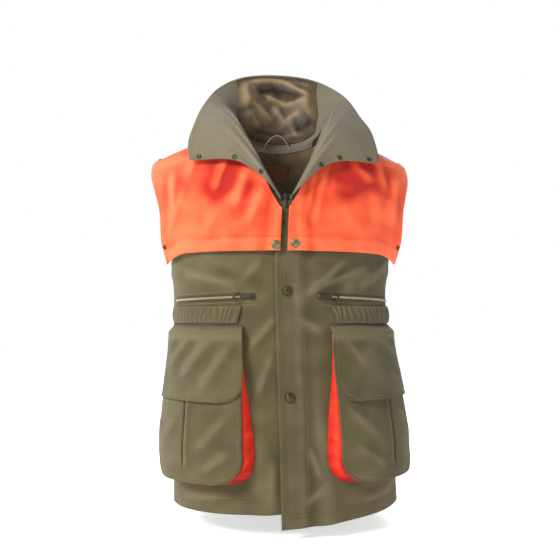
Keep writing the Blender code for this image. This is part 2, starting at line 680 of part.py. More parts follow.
def strip(u0, u1, columns, half, lift):
    """Narrow strip along the zip line with a raised chain down its middle."""
    u = np.linspace(u0, u1, columns)[None, :]
    v = np.array([half, 0.32, 0.22, -0.22, -0.32, -half])[:, None]
    z = zip_height(u) + v
    out = lift + np.where(np.abs(v) < 0.25, 0.12, 0.0) + 0 * u
    return u + 0 * v, z, out


for side, word in ((1, "left"), (-1, "right")):
    turned = side < 0
    sheet("pocket_" + word, pocket_face(side)[::-1], WALL, olive, towards_back=turned)
    sheet("gusset_" + word, gusset(side), 0.12, gusset_cloth, towards_back=turned)
    sheet("flap_" + word, flap(side)[::-1], WALL, olive, towards_back=turned)
    sheet("waist_band_" + word, band(side)[::-1], 0.12, olive, towards_back=turned)
    u, z, out = strip(ZIP_IN, ZIP_OUT, 12, 0.62, WALL + ZIP_OFF)
    sheet("pocket_zip_" + word, low_point(u * side, z, False, out)[::-1], 0.10, black, towards_back=turned)

CHAIN_TOP = WALL + ZIP_OFF + 0.10 + 0.12


# Main zip under the placket
def main_zip():
    v = np.array([-1.1, -0.32, -0.22, 0.22, 0.32, 1.1])[None, :]
    z = np.linspace(-70.5, -15.0, 17)[:, None]
    out = ZIP_LIFT + 0.04 * np.ones_like(z) + np.where(np.abs(v) < 0.25, 0.10, 0.0)
    return low_point(v + 0 * z, z + 0 * v, False, out)


sheet("main_zip", main_zip(), 0.08, black)
MAIN_CHAIN = ZIP_LIFT + 0.04 + 0.18

# Hanger loop: a narrow cord of cloth over the neck seam
loop_curve = bpy.data.curves.new("hanger_loop", "CURVE")
loop_curve.dimensions = "3D"
loop_curve.bevel_depth = 0.13 * CM
loop_curve.bevel_resolution = 1
loop_curve.use_fill_caps = True
spline = loop_curve.splines.new("POLY")
LOOP_STEPS = 12
LOOP_HALF = 2.9
LOOP_FOOT = by_width(LOOP_HALF, -1.70, True) - np.array([0.0, 0.37, 0.0])
LOOP_TOP = (0.0, 7.75, 1.2)
spline.points.add(LOOP_STEPS)
for step in range(LOOP_STEPS + 1):
    share = step / LOOP_STEPS
    x = (2 * share - 1) * LOOP_HALF
    arch = math.sin(math.pi * share) ** 0.8
    y = (1 - arch) * LOOP_FOOT[1] + arch * LOOP_TOP[1]
    z = (1 - arch) * LOOP_FOOT[2] + arch * LOOP_TOP[2]
    spline.points[step].co = (x * CM, y * CM, z * CM, 1.0)
loop = bpy.data.objects.new("hanger_loop", loop_curve)
loop_curve.materials.append(binding_cloth)
vest.objects.link(loop)


def spot(x, z, back, lift):
    """Point and outward normal on the figure, seen at x and z (cm)."""
    sign = -1 if back else 1
    x, z = np.array(x), np.array(z)
    near = [moved_out(lambda a, b: by_width(a, b, back), x, z, t, sign) for t in (0.0, 1.0)]
    normal = near[1] - near[0]
    return near[0] + normal * lift, normal


def low_spot(u, z, lift):
    near = [low_point(u, z, False, t) for t in (0.0, 1.0)]
    normal = near[1] - near[0]
    return near[0] + normal * lift, normal


def edge_spot(piece, side, across, z, lift):
    up = height_share(piece, np.array(across), z) if z is not None else 0.93
    near = [high_point(piece, side, across, up, t) for t in (0.0, 1.0)]
    normal = near[1] - near[0]
    return near[0] + normal * lift, normal


def collar_spot(along, up, lift):
    about = np.array([-0.01, 0.0, 0.01])
    near = [collar_points(along + about, up + about, t)[1, 1] for t in (0.0, 1.0)]
    normal = near[1] - near[0]
    return near[0] + normal * lift, normal


def place(obj, point, normal, along=None):
    """Stands an object on a point with its +Z along the normal and, if given, its +X along a direction."""
    z_axis = Vector(normal).normalized()
    x_axis = Vector(along if along is not None else (0.31, 0.17, 0.93))
    x_axis = (x_axis - z_axis * x_axis.dot(z_axis)).normalized()
    y_axis = z_axis.cross(x_axis)
    turn = Matrix((x_axis, y_axis, z_axis)).transposed()
    obj.matrix_world = Matrix.Translation(Vector(point) * CM) @ turn.to_4x4()


def snap_profile(name, radius, height):
    """Half outline of a snap's cap, from its crown down its outer side to its flat underside."""
    shares = ((0.0, 1.0), (0.62, 0.90), (0.95, 0.50), (1.0, 0.0), (0.0, 0.0))
    points = [(x * radius, 0.0, z * height) for x, z in shares]
    mesh = bpy.data.meshes.new(name)
    mesh.from_pydata(points, [(i, i + 1) for i in range(len(points) - 1)], [])
    return mesh


SNAP_LARGE = snap_profile("snap_large", 8.6 * MM, 2.8 * MM)
SNAP_PLACKET = snap_profile("snap_placket", 9.2 * MM, 3.2 * MM)
SNAP_SMALL = snap_profile("snap_small", 4.6 * MM, 1.8 * MM)
SNAP_LARGE.materials.append(pale_brass)
SNAP_PLACKET.materials.append(dark_brass)
SNAP_SMALL.materials.append(dark_brass)


def snap(name, mesh, point, normal, steps=16):
    obj = bpy.data.objects.new(name, mesh)
    vest.objects.link(obj)
    turned = obj.modifiers.new("turned", "SCREW")
    turned.steps = steps
    turned.render_steps = steps
    turned.use_merge_vertices = True
    turned.merge_threshold = 0.00001
    place(obj, point, normal)
    return obj


ON_FRONT = WALL + OVERLAP_LIFT + 0.07
ON_YOKE = 2 * WALL + YOKE_GAP + 0.09
snap("placket_snap_high", SNAP_PLACKET, *low_spot(0.15, -32.6, ON_FRONT))
snap("placket_snap_low", SNAP_PLACKET, *low_spot(0.05, -51.6, ON_FRONT))
snap("placket_snap_chest", SNAP_SMALL, *spot(-0.45, -20.6, False, ON_FRONT), 12)
OVER_PLACKET = ON_YOKE + OVERLAP_LIFT + 0.06
snap("yoke_snap_left", SNAP_LARGE, *spot(1.75, -24.2, False, OVER_PLACKET + YOKE_FLARE - 0.06))
snap("yoke_snap_right", SNAP_LARGE, *spot(-2.0, -24.2, False, OVER_PLACKET + YOKE_FLARE - 0.06))
for side, word in ((1, "left"), (-1, "right")):
    piece = "front_" + word
    front_corner = edge_spot(piece, side, 0.925, -24.3, ON_YOKE + 0.52)
    back_corner = edge_spot("back", side, 0.945, -21.0, ON_YOKE + 0.50)
    snap("yoke_corner_snap_front_" + word, SNAP_SMALL, *front_corner, 10)
    snap("yoke_corner_snap_back_" + word, SNAP_SMALL, *back_corner, 10)
    snap("shoulder_snap_" + word, SNAP_SMALL, *edge_spot(piece, side, 0.95, None, ON_YOKE + 0.22), 10)

# Collar snaps: side, distance in from the collar's end, share up from the seam, lift off the facing (cm)
COLLAR_SNAPS = (
    (-1, 0.045, 0.90, 0.11),
    (-1, 0.045, 0.56, 0.05),
    (-1, 0.070, 0.27, -0.02),
    (1, 0.045, 0.90, 0.11),
    (1, 0.050, 0.60, 0.05),
    (1, 0.060, 0.39, 0.08),
)
for number, (side, inset, up, off) in enumerate(COLLAR_SNAPS, 1):
    snap("collar_snap_%d" % number, SNAP_SMALL, *collar_spot(side * (1 - inset), up, COLLAR_WALL + off), 10)


def block(name, size, made_of):
    """A small metal body with its edges chamfered."""
    bpy.ops.mesh.primitive_cube_add(size=1.0)
    obj = bpy.context.active_object
    obj.name = name
    obj.data.transform(Matrix.Diagonal((*[x * CM for x in size], 1.0)))
    for collection in list(obj.users_collection):
        collection.objects.unlink(obj)
    vest.objects.link(obj)
    chamfer = obj.modifiers.new("chamfer", "BEVEL")
    chamfer.width = 0.5 * MM
    chamfer.segments = 1
    obj.data.materials.append(made_of)
    return obj


def ring_pull(name, neck, ring, hole, half_neck, made_of):
    """A flat pull: a straight neck from the hinge, then a ring (or a rounded end where there is no hole)."""
    flat = bpy.data.curves.new(name, "CURVE")
    flat.dimensions = "2D"
    flat.fill_mode = "BOTH"
    flat.extrude = 0.07 * CM
    start = math.asin(half_neck / ring)
    turns = [math.pi - start - (2 * math.pi - 2 * start) * i / 20 for i in range(21)]
    outline = [(0.0, half_neck)] + [(neck + ring + ring * math.cos(t), ring * math.sin(t)) for t in turns]
    outline.append((0.0, -half_neck))
    holes = [outline]
    if hole:
        round_hole = np.linspace(0, 2 * math.pi, 17)[:-1]
        holes.append([(neck + ring + hole * math.cos(t), hole * math.sin(t)) for t in round_hole])
    for points in holes:
        loop = flat.splines.new("POLY")
        loop.points.add(len(points) - 1)
        for point, (x, y) in zip(loop.points, points):
            point.co = (x * CM, y * CM, 0.0, 1.0)
        loop.use_cyclic_u = True
    flat.materials.append(made_of)
    obj = bpy.data.objects.new(name, flat)
    vest.objects.link(obj)
    return obj


for side, word in ((1, "left"), (-1, "right")):
    u = 6.48
    point, normal = low_spot(u * side, zip_height(u), CHAIN_TOP + 0.26)
    ahead, _ = low_spot((u + 0.5) * side, zip_height(u + 0.5), CHAIN_TOP + 0.26)
    place(block("pocket_slider_" + word, (1.3, 0.72, 0.34), steel), point, normal, ahead - point)
    u = 7.2
    point, normal = low_spot(u * side, zip_height(u), CHAIN_TOP + 0.24)
    ahead, _ = low_spot((u + 2.4) * side, zip_height(u + 2.4), CHAIN_TOP + 0.30)
    along = ahead - point
    normal = normal - along * (normal @ along) / (along @ along)
    place(ring_pull("pocket_pull_" + word, 0.8, 0.8, 0.52, 0.22, steel), point, normal, along)

point, normal = spot(0.0, -15.4, False, MAIN_CHAIN + 0.20)
place(block("main_slider", (1.1, 0.70, 0.34), black), point, normal, (0.0, 0.0, -1.0))
point, normal = spot(0.0, -15.82, False, MAIN_CHAIN + 0.48)
place(ring_pull("main_pull", 1.2, 0.36, 0.0, 0.24, black), point, (0.0, -1.0, 0.12), (0.0, 0.05, -1.0))
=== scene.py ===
# %% [markdown]
# Hunting vest with an orange yoke fastened over its shoulders. The canvas body, the yoke and the collar are
# cloth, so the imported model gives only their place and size. Each one is made again here as a thin shell on
# the same figure surface, with its creases, its hems and its stitches. The metal parts are turned and swept
# from profiles.

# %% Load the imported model
import math

import bpy
import numpy as np
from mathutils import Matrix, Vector


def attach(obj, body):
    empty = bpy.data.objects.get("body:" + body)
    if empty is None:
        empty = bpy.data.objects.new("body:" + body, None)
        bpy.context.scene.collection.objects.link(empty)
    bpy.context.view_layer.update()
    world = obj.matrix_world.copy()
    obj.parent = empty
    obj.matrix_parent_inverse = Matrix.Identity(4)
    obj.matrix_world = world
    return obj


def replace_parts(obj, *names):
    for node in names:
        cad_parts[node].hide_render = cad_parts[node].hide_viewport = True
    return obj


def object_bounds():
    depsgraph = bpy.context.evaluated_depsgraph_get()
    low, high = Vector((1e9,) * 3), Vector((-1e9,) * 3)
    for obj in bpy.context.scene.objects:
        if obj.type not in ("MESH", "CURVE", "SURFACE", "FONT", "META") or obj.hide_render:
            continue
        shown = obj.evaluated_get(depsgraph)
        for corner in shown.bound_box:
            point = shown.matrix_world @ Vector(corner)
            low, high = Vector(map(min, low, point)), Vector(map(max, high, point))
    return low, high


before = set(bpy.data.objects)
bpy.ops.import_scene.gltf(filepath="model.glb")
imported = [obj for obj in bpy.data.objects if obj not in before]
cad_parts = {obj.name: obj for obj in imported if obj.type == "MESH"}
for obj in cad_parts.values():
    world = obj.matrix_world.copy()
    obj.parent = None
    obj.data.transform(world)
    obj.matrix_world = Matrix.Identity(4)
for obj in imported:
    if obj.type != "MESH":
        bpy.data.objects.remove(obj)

CM = 0.01
VEST = "vest"
cad_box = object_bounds()
print("CAD box (m):", [[round(value, 3) for value in corner] for corner in cad_box])

# %% [markdown]
# The picture is taken a little from the wearer's right, from just over a metre away, level with the waist.
# That short distance is why the shoulders look smaller than the pockets. The camera has no shift, so every
# other view stays centred too. The floor is one pale sweep. A large soft light stands at the wearer's right
# and weaker ones at the left and behind. The camera sees the sky as white paper, while the cloth is lit by
# a dimmer one.

# %% Camera, floor and lights
CAMERA_AZIMUTH = -4.5
CAMERA_DISTANCE = 1.32
CAMERA_HEIGHT = -0.36
LOOK_AT = Vector((0.0, 0.0, -0.300))
LENS = 42.5
SKY_STRENGTH = 0.40
FLOOR_DROP = 0.012
FLOOR_HALF = 6.0
FLOOR_GLOW = 0.63
WHITE = (1.0, 1.0, 1.0, 1.0)

camera = bpy.data.objects.new("camera", bpy.data.cameras.new("camera"))
bpy.context.scene.collection.objects.link(camera)
bpy.context.scene.camera = camera
camera.data.lens = LENS
turn = math.radians(CAMERA_AZIMUTH)
camera.location = (math.sin(turn) * CAMERA_DISTANCE, -math.cos(turn) * CAMERA_DISTANCE, CAMERA_HEIGHT)
camera.rotation_euler = (LOOK_AT - camera.location).to_track_quat("-Z", "Y").to_euler()

floor_mesh = bpy.data.meshes.new("floor")
floor_z = cad_box[0][2] - FLOOR_DROP
floor_corners = [(x * FLOOR_HALF, y * FLOOR_HALF, floor_z) for x, y in ((-1, -1), (1, -1), (1, 1), (-1, 1))]
floor_mesh.from_pydata(floor_corners, [], [(0, 1, 2, 3)])
floor = bpy.data.objects.new("floor", floor_mesh)
bpy.context.scene.collection.objects.link(floor)
floor_paint = bpy.data.materials.new("pale_floor")
floor_paint.use_nodes = True
floor_shader = floor_paint.node_tree.nodes["Principled BSDF"]
floor_shader.inputs["Base Color"].default_value = (0.94, 0.94, 0.94, 1.0)
floor_shader.inputs["Roughness"].default_value = 0.9
floor_shader.inputs["Emission Color"].default_value = WHITE
floor_shader.inputs["Emission Strength"].default_value = FLOOR_GLOW
floor_mesh.materials.append(floor_paint)

world = bpy.data.worlds.new("studio")
bpy.context.scene.world = world
world.use_nodes = True
world_tree = world.node_tree
soft_sky = world_tree.nodes["Background"]
soft_sky.inputs["Color"].default_value = (0.95, 0.97, 1.0, 1.0)
soft_sky.inputs["Strength"].default_value = SKY_STRENGTH
paper = world_tree.nodes.new("ShaderNodeBackground")
paper.inputs["Color"].default_value = WHITE
seen = world_tree.nodes.new("ShaderNodeLightPath")
either = world_tree.nodes.new("ShaderNodeMixShader")
world_tree.links.new(seen.outputs["Is Camera Ray"], either.inputs[0])
world_tree.links.new(soft_sky.outputs[0], either.inputs[1])
world_tree.links.new(paper.outputs[0], either.inputs[2])
world_tree.links.new(either.outputs[0], world_tree.nodes["World Output"].inputs["Surface"])
bpy.context.scene.view_settings.view_transform = "Standard"

# Each light: name, place, size in metres, power in watts
LIGHT_COLUMNS = ("name", "place", "size", "power")
LIGHTS = (
    ("key", (-1.75, -1.45, 1.0), 0.8, 86.0),
    ("fill", (1.7, -1.9, 0.1), 1.6, 2.0),
    ("rim", (1.1, 1.8, 1.0), 1.2, 40.0),
    ("back", (-0.9, 2.1, 0.3), 1.6, 30.0),
)
for row in LIGHTS:
    light = dict(zip(LIGHT_COLUMNS, row))
    lamp = bpy.data.lights.new(light["name"], "AREA")
    lamp.size = light["size"]
    lamp.energy = light["power"]
    lamp_object = bpy.data.objects.new(light["name"], lamp)
    lamp_object.location = light["place"]
    lamp_object.rotation_euler = (LOOK_AT - lamp_object.location).to_track_quat("-Z", "Y").to_euler()
    bpy.context.scene.collection.objects.link(lamp_object)
print("camera at", [round(value, 3) for value in camera.location], "lights:", len(LIGHTS))

# %% [markdown]
# The vest is filled out as if worn, so one figure surface carries all of its cloth. It is a stack of oval
# sections: each has a half width, a depth to the front and one to the back, and a squareness that sets how
# flat its front is. A smooth curve joins the sizes from section to section, which keeps the side view free
# of steps.

# %% Figure sections and edges of the cut, in centimetres
UNDERARM = -26.5
SHOULDER_TIP = (24.5, -8.0)
NECK_SIDE = 8.2
HEM_SIDE = -72.2
HEMS = {"front_left": -74.6, "front_right": -72.0, "back": -75.4}
WALL = 0.16
OVERLAP_LIFT = 0.50
ZIP_LIFT = 0.22
YOKE_GAP = 0.33
# Share across a panel at which the neck ends and the shoulder seam begins
NECK_SHARE = 0.39
# How far up a panel's columns bunch: at its centre line, and more of it towards the neck's side
STEEP_MIDDLE = 1.15
STEEP_MORE = 1.05
ARMHOLE_STEEP = 2.2

FIGURE_COLUMNS = ("height", "half_width", "front", "back", "squareness", "drift")
FIGURE = (
    (-76.0, 21.6, 13.6, 12.8, 2.40, 1.2),
    (-66.0, 21.4, 13.6, 12.6, 2.40, 1.0),
    (-52.0, 21.2, 13.5, 12.2, 2.40, 0.6),
    (-39.0, 20.8, 13.2, 11.8, 2.40, 0.2),
    (-34.0, 20.7, 13.1, 11.9, 2.40, 0.1),
    (-26.5, 21.3, 13.1, 12.5, 2.40, 0.0),
    (-24.0, 22.6, 13.0, 12.7, 2.35, 0.0),
    (-21.0, 24.2, 12.8, 12.9, 2.30, 0.0),
    (-17.0, 25.4, 12.4, 12.9, 2.25, 0.0),
    (-12.0, 25.4, 11.6, 12.4, 2.20, 0.0),
    (-8.0, 24.5, 10.6, 11.6, 2.15, 0.0),
    (-4.0, 16.35, 9.3, 10.2, 2.10, 0.0),
    (0.0, 8.2, 8.0, 8.9, 2.10, 0.0),
)
ARMHOLE_COLUMNS = ("height", "x")
ARMHOLE = (
    (-26.5, 21.3), (-25.8, 21.05), (-24.5, 21.1), (-21.0, 22.0),
    (-17.0, 22.4), (-13.0, 23.5), (-10.0, 24.4), (-8.0, 24.5),
)
TOP_COLUMNS = ("across", "x", "height")
TOP_FRONT_LEFT = (
    (0.00, -2.0, -16.7), (0.08, 0.9, -16.1), (0.16, 2.6, -12.7), (0.23, 4.6, -8.7),
    (0.30, 6.5, -4.4), (0.35, 7.6, -1.7), (0.39, 8.2, 0.0), (1.00, 24.5, -8.0),
)
TOPS = {
    "front_left": TOP_FRONT_LEFT,
    "front_right": ((0.00, 0.5, -16.6),) + TOP_FRONT_LEFT[1:],
    "back": (
        (0.00, 0.0, -1.2), (0.12, 3.0, -1.05), (0.22, 5.5, -0.7),
        (0.31, 7.3, -0.3), (0.39, 8.2, 0.0), (1.00, 24.5, -8.0),
    ),
}


def column(table, names, name):
    """One named column of a table as an array."""
    return np.array([row[names.index(name)] for row in table], float)


def ease(t):
    """Soft step from 0 to 1: three t squared less two t cubed, held flat outside."""
    t = np.clip(t, 0.0, 1.0)
    return t * t * (3 - 2 * t)


def through(xs, ys, x):
    """Smooth curve through the points (xs, ys), with no overshoot between them, read at x."""
    order = np.argsort(xs)
    xs, ys = np.asarray(xs, float)[order], np.asarray(ys, float)[order]
    x = np.clip(x, xs[0], xs[-1])
    step = np.diff(xs)
    slope = np.diff(ys) / step
    tangent = np.zeros_like(ys)
    tangent[0], tangent[-1] = slope[0], slope[-1]
    before, after = slope[:-1], slope[1:]
    agree = before * after > 0
    tangent[1:-1][agree] = (2 * before * after)[agree] / (before + after)[agree]
    i = np.clip(np.searchsorted(xs, x) - 1, 0, len(step) - 1)
    t = (x - xs[i]) / step[i]
    rise = ys[i + 1] - ys[i]
    bend = tangent[i] * step[i] - rise
    bend_after = -tangent[i + 1] * step[i] + rise
    return ys[i] + t * rise + t * (1 - t) * ((1 - t) * bend + t * bend_after)


def figure(name, z):
    """One named size of the figure at height z."""
    heights = column(FIGURE, FIGURE_COLUMNS, "height")
    return through(heights, column(FIGURE, FIGURE_COLUMNS, name), z)


def half_width(z):
    """Half width at z: the shoulder line is straight above the shoulder tip."""
    straight = NECK_SIDE - np.minimum(z, 0.0) * (SHOULDER_TIP[0] - NECK_SIDE) / -SHOULDER_TIP[1]
    return np.where(z > SHOULDER_TIP[1], straight, figure("half_width", z))


OVAL_POINTS = 65


def quarter(z, back):
    """Quarter of the oval at height z: x and y are powers of a sine and a cosine; and the length along."""
    z = np.asarray(z, float)
    angle = ease(np.linspace(0.0, 1.0, OVAL_POINTS)) * math.pi / 2
    power = 2.0 / figure("squareness", z)[..., None]
    x = half_width(z)[..., None] * np.sin(angle) ** power
    y = figure("back" if back else "front", z)[..., None] * np.cos(angle) ** power
    length = np.hypot(np.diff(x, axis=-1), np.diff(y, axis=-1))
    length = np.concatenate([np.zeros_like(length[..., :1]), np.cumsum(length, axis=-1)], axis=-1)
    return x, y, length


def reach(z, back):
    """Length round the oval from the centre line to the side seam."""
    return quarter(z, back)[2][..., -1]


def by_length(u, z, back):
    """Figure point u centimetres round from the centre line at height z."""
    u, z = np.broadcast_arrays(np.asarray(u, float), np.asarray(z, float))
    x, y, length = quarter(z, back)
    wanted = np.minimum(np.abs(u), length[..., -1])
    i = np.clip((length < wanted[..., None]).sum(-1) - 1, 0, length.shape[-1] - 2)[..., None]
    low, high = np.take_along_axis(length, i, -1), np.take_along_axis(length, i + 1, -1)
    t = (wanted[..., None] - low) / (high - low)
    px = (1 - t) * np.take_along_axis(x, i, -1) + t * np.take_along_axis(x, i + 1, -1)
    py = (1 - t) * np.take_along_axis(y, i, -1) + t * np.take_along_axis(y, i + 1, -1)
    px = px[..., 0] * np.sign(u) + figure("drift", z)
    return np.stack([px, py[..., 0] * (1 if back else -1), z], -1)


def by_width(x, z, back):
    """Figure point seen at x and z from the front or the back."""
    x, z = np.broadcast_arrays(np.asarray(x, float), np.asarray(z, float))
    n = figure("squareness", z)
    share = np.clip(np.abs(x) / half_width(z), 0.0, 1.0)
    y = figure("back" if back else "front", z) * (1 - share**n) ** (1 / n)
    return np.stack([x + figure("drift", z), y * (1 if back else -1), z], -1)


print("reach from centre front to side seam at the underarm:", round(float(reach(UNDERARM, False)), 2), "cm")

# %% [markdown]
# Canvas that hangs has few long soft folds, and many short ones where it is sewn or pressed. Each fold is a
# row in a table: the ends of its line, its width and its rise. One side of a fold is steeper than the
# other, as on real cloth, and the fold fades out at both ends. A second, slow unevenness over the whole
# cloth keeps it from looking drawn with a ruler. The same heights move every layer on the body, so pockets
# and bands stay seated on it.

# %% Folds, creases and unevenness of the body
FOLD_COLUMNS = ("back", "u0", "z0", "u1", "z1", "width", "rise")
FOLDS = (
    (1, 1.0, -22.0, 2.0, -48.0, 2.6, 0.9),
    (1, 2.0, -48.0, 7.5, -76.0, 3.0, 1.3),
    (1, -9.0, -24.0, -7.0, -60.0, 3.0, -0.6),
    (1, 12.5, -30.0, 10.0, -70.0, 2.6, -0.7),
    (1, -17.0, -34.0, -15.0, -76.0, 2.8, 0.6),
    (1, 17.5, -27.0, 9.0, -38.0, 2.0, 0.5),
    (0, -6.0, -56.0, -4.5, -74.0, 2.2, 0.6),
    (0, 5.0, -50.0, 6.5, -76.0, 2.2, 0.7),
    (0, 8.0, -27.0, 3.0, -34.0, 1.6, 0.35),
    (0, -14.0, -28.0, -5.0, -31.0, 1.7, -0.3),
    (0, 17.0, -27.5, 12.0, -31.5, 1.5, 0.3),
    (0, 12.0, -42.0, 20.0, -50.0, 2.2, 0.3),
)
CREASES = (
    (0, 3.5, -33.5, 11.5, -26.5, 0.7, 0.26),
    (0, 5.5, -32.0, 15.5, -28.0, 0.6, 0.20),
    (0, 13.5, -32.0, 21.5, -27.0, 0.8, 0.24),
    (0, 24.0, -27.0, 31.0, -33.0, 0.8, 0.22),
    (0, -9.0, -31.5, -20.0, -29.0, 0.8, 0.14),
    (0, -4.0, -26.5, -8.5, -31.5, 0.9, 0.16),
    (0, -21.0, -26.0, -29.0, -32.0, 0.9, 0.22),
    (0, -1.5, -37.0, -7.0, -43.0, 0.8, 0.22),
    (0, -2.5, -43.0, -6.0, -52.0, 0.9, 0.16),
    (0, 2.0, -37.5, 7.0, -40.0, 0.8, 0.16),
    (0, 3.2, -60.0, 5.4, -66.0, 0.6, 0.20),
    (0, 2.0, -70.5, 7.0, -66.5, 0.7, 0.18),
    (0, -3.2, -62.0, -3.6, -71.5, 0.9, 0.22),
    (0, 12.0, -70.5, 22.0, -68.5, 0.8, 0.14),
    (0, -11.0, -69.0, -21.0, -70.0, 0.8, 0.14),
    (1, 6.5, -23.0, 3.5, -41.0, 1.8, 0.28),
    (1, -6.0, -22.0, -10.0, -37.0, 2.0, 0.30),
    (1, -12.5, -22.0, -14.0, -45.0, 1.8, 0.24),
    (1, 12.0, -24.0, 10.0, -42.0, 1.7, 0.22),
    (1, 3.5, -48.0, 8.5, -66.0, 1.6, 0.30),
    (1, 9.0, -60.0, 11.5, -75.0, 1.3, 0.24),
    (1, 19.5, -34.0, 18.0, -60.0, 1.8, 0.26),
    (1, -20.0, -33.0, -18.5, -58.0, 1.8, 0.22),
    (1, -3.0, -40.0, -5.5, -62.0, 2.4, 0.24),
    (1, -5.5, -64.0, -8.5, -76.0, 1.5, 0.20),
    (1, 0.5, -21.0, 2.5, -50.0, 0.9, 0.26),
    (1, 2.5, -46.0, 9.5, -76.0, 0.9, 0.30),
    (1, 0.5, -58.0, 4.5, -72.0, 0.8, 0.20),
    (1, -14.5, -30.0, -17.0, -62.0, 1.0, 0.18),
    (1, -8.5, -21.5, -15.5, -29.5, 0.9, 0.22),
    (1, 16.5, -44.0, 14.5, -70.0, 1.0, 0.20),
    (1, 10.5, -21.5, 16.5, -28.5, 0.9, 0.18),
    (1, -1.0, -70.5, -14.0, -72.5, 0.7, 0.12),
)


# A fold's width on its wide and on its steep side, as shares of the width in its row
WIDE_SIDE, STEEP_SIDE = 1.35, 0.75


def faded(t):
    """Fade of a fold towards its first end."""
    return ease(t * 2.5 + 0.2)


def fold_line(a, b, fold, power):
    """Height of one fold: a bell over the distance from its line, steeper on one side, faded at both ends.

    A power of 2 gives a round back, and a lower one a sharp crest with wide flanks.
    """
    run, drop = fold["u1"] - fold["u0"], fold["z1"] - fold["z0"]
    length = math.hypot(run, drop)
    t = ((a - fold["u0"]) * run + (b - fold["z0"]) * drop) / length**2
    off = ((a - fold["u0"]) * drop - (b - fold["z0"]) * run) / length
    width = fold["width"] * np.where(off > 0, WIDE_SIDE, STEEP_SIDE)
    return fold["rise"] * np.exp(-(np.abs(off / width) ** power)) * faded(t) * faded(1 - t)


def creased(table, a, b, back=None, power=2.0):
    """Sum of the folds of a table at (a, b), for the back, the front, or all of them."""
    rise = np.zeros(np.broadcast(a, b).shape)
    for row in table:
        fold = dict(zip(FOLD_COLUMNS, row))
        if back is None or bool(fold["back"]) == bool(back):
            rise = rise + fold_line(a, b, fold, power)
    return rise


LATTICE = 64


def uneven(a, b, size, seed):
    """Smooth uneven height from -1 to 1: random values on a square lattice of that size, eased between."""
    lattice = np.random.default_rng(seed).uniform(-1.0, 1.0, (LATTICE, LATTICE))
    a, b = np.broadcast_arrays(np.asarray(a, float) / size, np.asarray(b, float) / size)
    i, j = np.floor(a).astype(int), np.floor(b).astype(int)
    f, g = ease(a - i), ease(b - j)
    i, j, k, m = i % LATTICE, j % LATTICE, (i + 1) % LATTICE, (j + 1) % LATTICE
    low = lattice[i, j] * (1 - f) + lattice[k, j] * f
    high = lattice[i, m] * (1 - f) + lattice[k, m] * f
    return low * (1 - g) + high * g


def long_folds(x, z, back):
    """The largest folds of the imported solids, as soft ridges along their lines."""
    rise = np.zeros(np.broadcast(x, z).shape)
    for row in FOLDS:
        fold = dict(zip(FOLD_COLUMNS, row))
        if bool(fold["back"]) != bool(back):
            continue
        run, drop = fold["u1"] - fold["u0"], fold["z1"] - fold["z0"]
        t = ((x - fold["u0"]) * run + (z - fold["z0"]) * drop) / (run * run + drop * drop)
        near = np.clip(t, 0, 1)
        off = np.hypot(x - fold["u0"] - near * run, z - fold["z0"] - near * drop)
        rise = rise + fold["rise"] * np.exp(-((off / fold["width"]) ** 2)) * (0.35 + 0.65 * ease(t * 3))
    return rise * ease((-25.5 - z) / 5.0)


SEAM_FADE = 3.0
CREASE_STRENGTH = 1.7
CREASE_CREST = 1.6
BACK_ROUGH = 0.4


def drape(s, z, back, full):
    """Height of all folds at length s round the body; the fine ones fade towards the side seam at full."""
    fade = ease((full - np.abs(s)) / SEAM_FADE)
    rough = BACK_ROUGH if back else 1.0
    fine = CREASE_STRENGTH * creased(CREASES, s, z, back, CREASE_CREST)
    fine = fine + rough * (0.13 * uneven(s, z, 5.5, 3) + 0.06 * uneven(s, z, 2.3, 4))
    return long_folds(s, z, back) + fine * fade


print("folds and creases:", len(FOLDS) + len(CREASES))

# %% [markdown]
# Below the arm a point is named by its length round the body and its height. Above it the cloth has to
# narrow to the armhole and the neck, so there a point is a share across the panel and a share up it. Both
# give the same points where they meet. Every layer is the figure moved out along its own normal.

# %% Points of the lower and upper body


def moved_out(function, a, b, lift, sign):
    """Points of function(a, b) moved out by lift along the surface's normal, from two small differences."""
    step = 1e-3
    across = function(a + step, b) - function(a - step, b)
    up = function(a, b + step) - function(a, b - step)
    normal = np.cross(across, up) * sign
    normal /= np.linalg.norm(normal, axis=-1, keepdims=True)
    return function(a, b) + normal * np.asarray(lift)[..., None]


def low_point(u, z, back, lift):
    """Point of the lower body at length u and height z, moved out by the drape and by lift."""
    u, z = np.broadcast_arrays(np.asarray(u, float), np.asarray(z, float))
    full = reach(z, back)
    u = np.clip(u, 2e-3 - full, full - 2e-3)
    out = np.asarray(lift) + drape(u, z, back, full)
    return moved_out(lambda a, b: by_length(a, b, back), u, z, out, -1 if back else 1)


def top_height(piece, across):
    """Height of a piece's upper edge at a share across it."""
    table = TOPS[piece]
    return np.interp(across, column(table, TOP_COLUMNS, "across"), column(table, TOP_COLUMNS, "height"))


def steepness(across):
    """Power by which a column's heights bunch towards its top."""
    return STEEP_MIDDLE + STEEP_MORE * ease(across / NECK_SHARE)


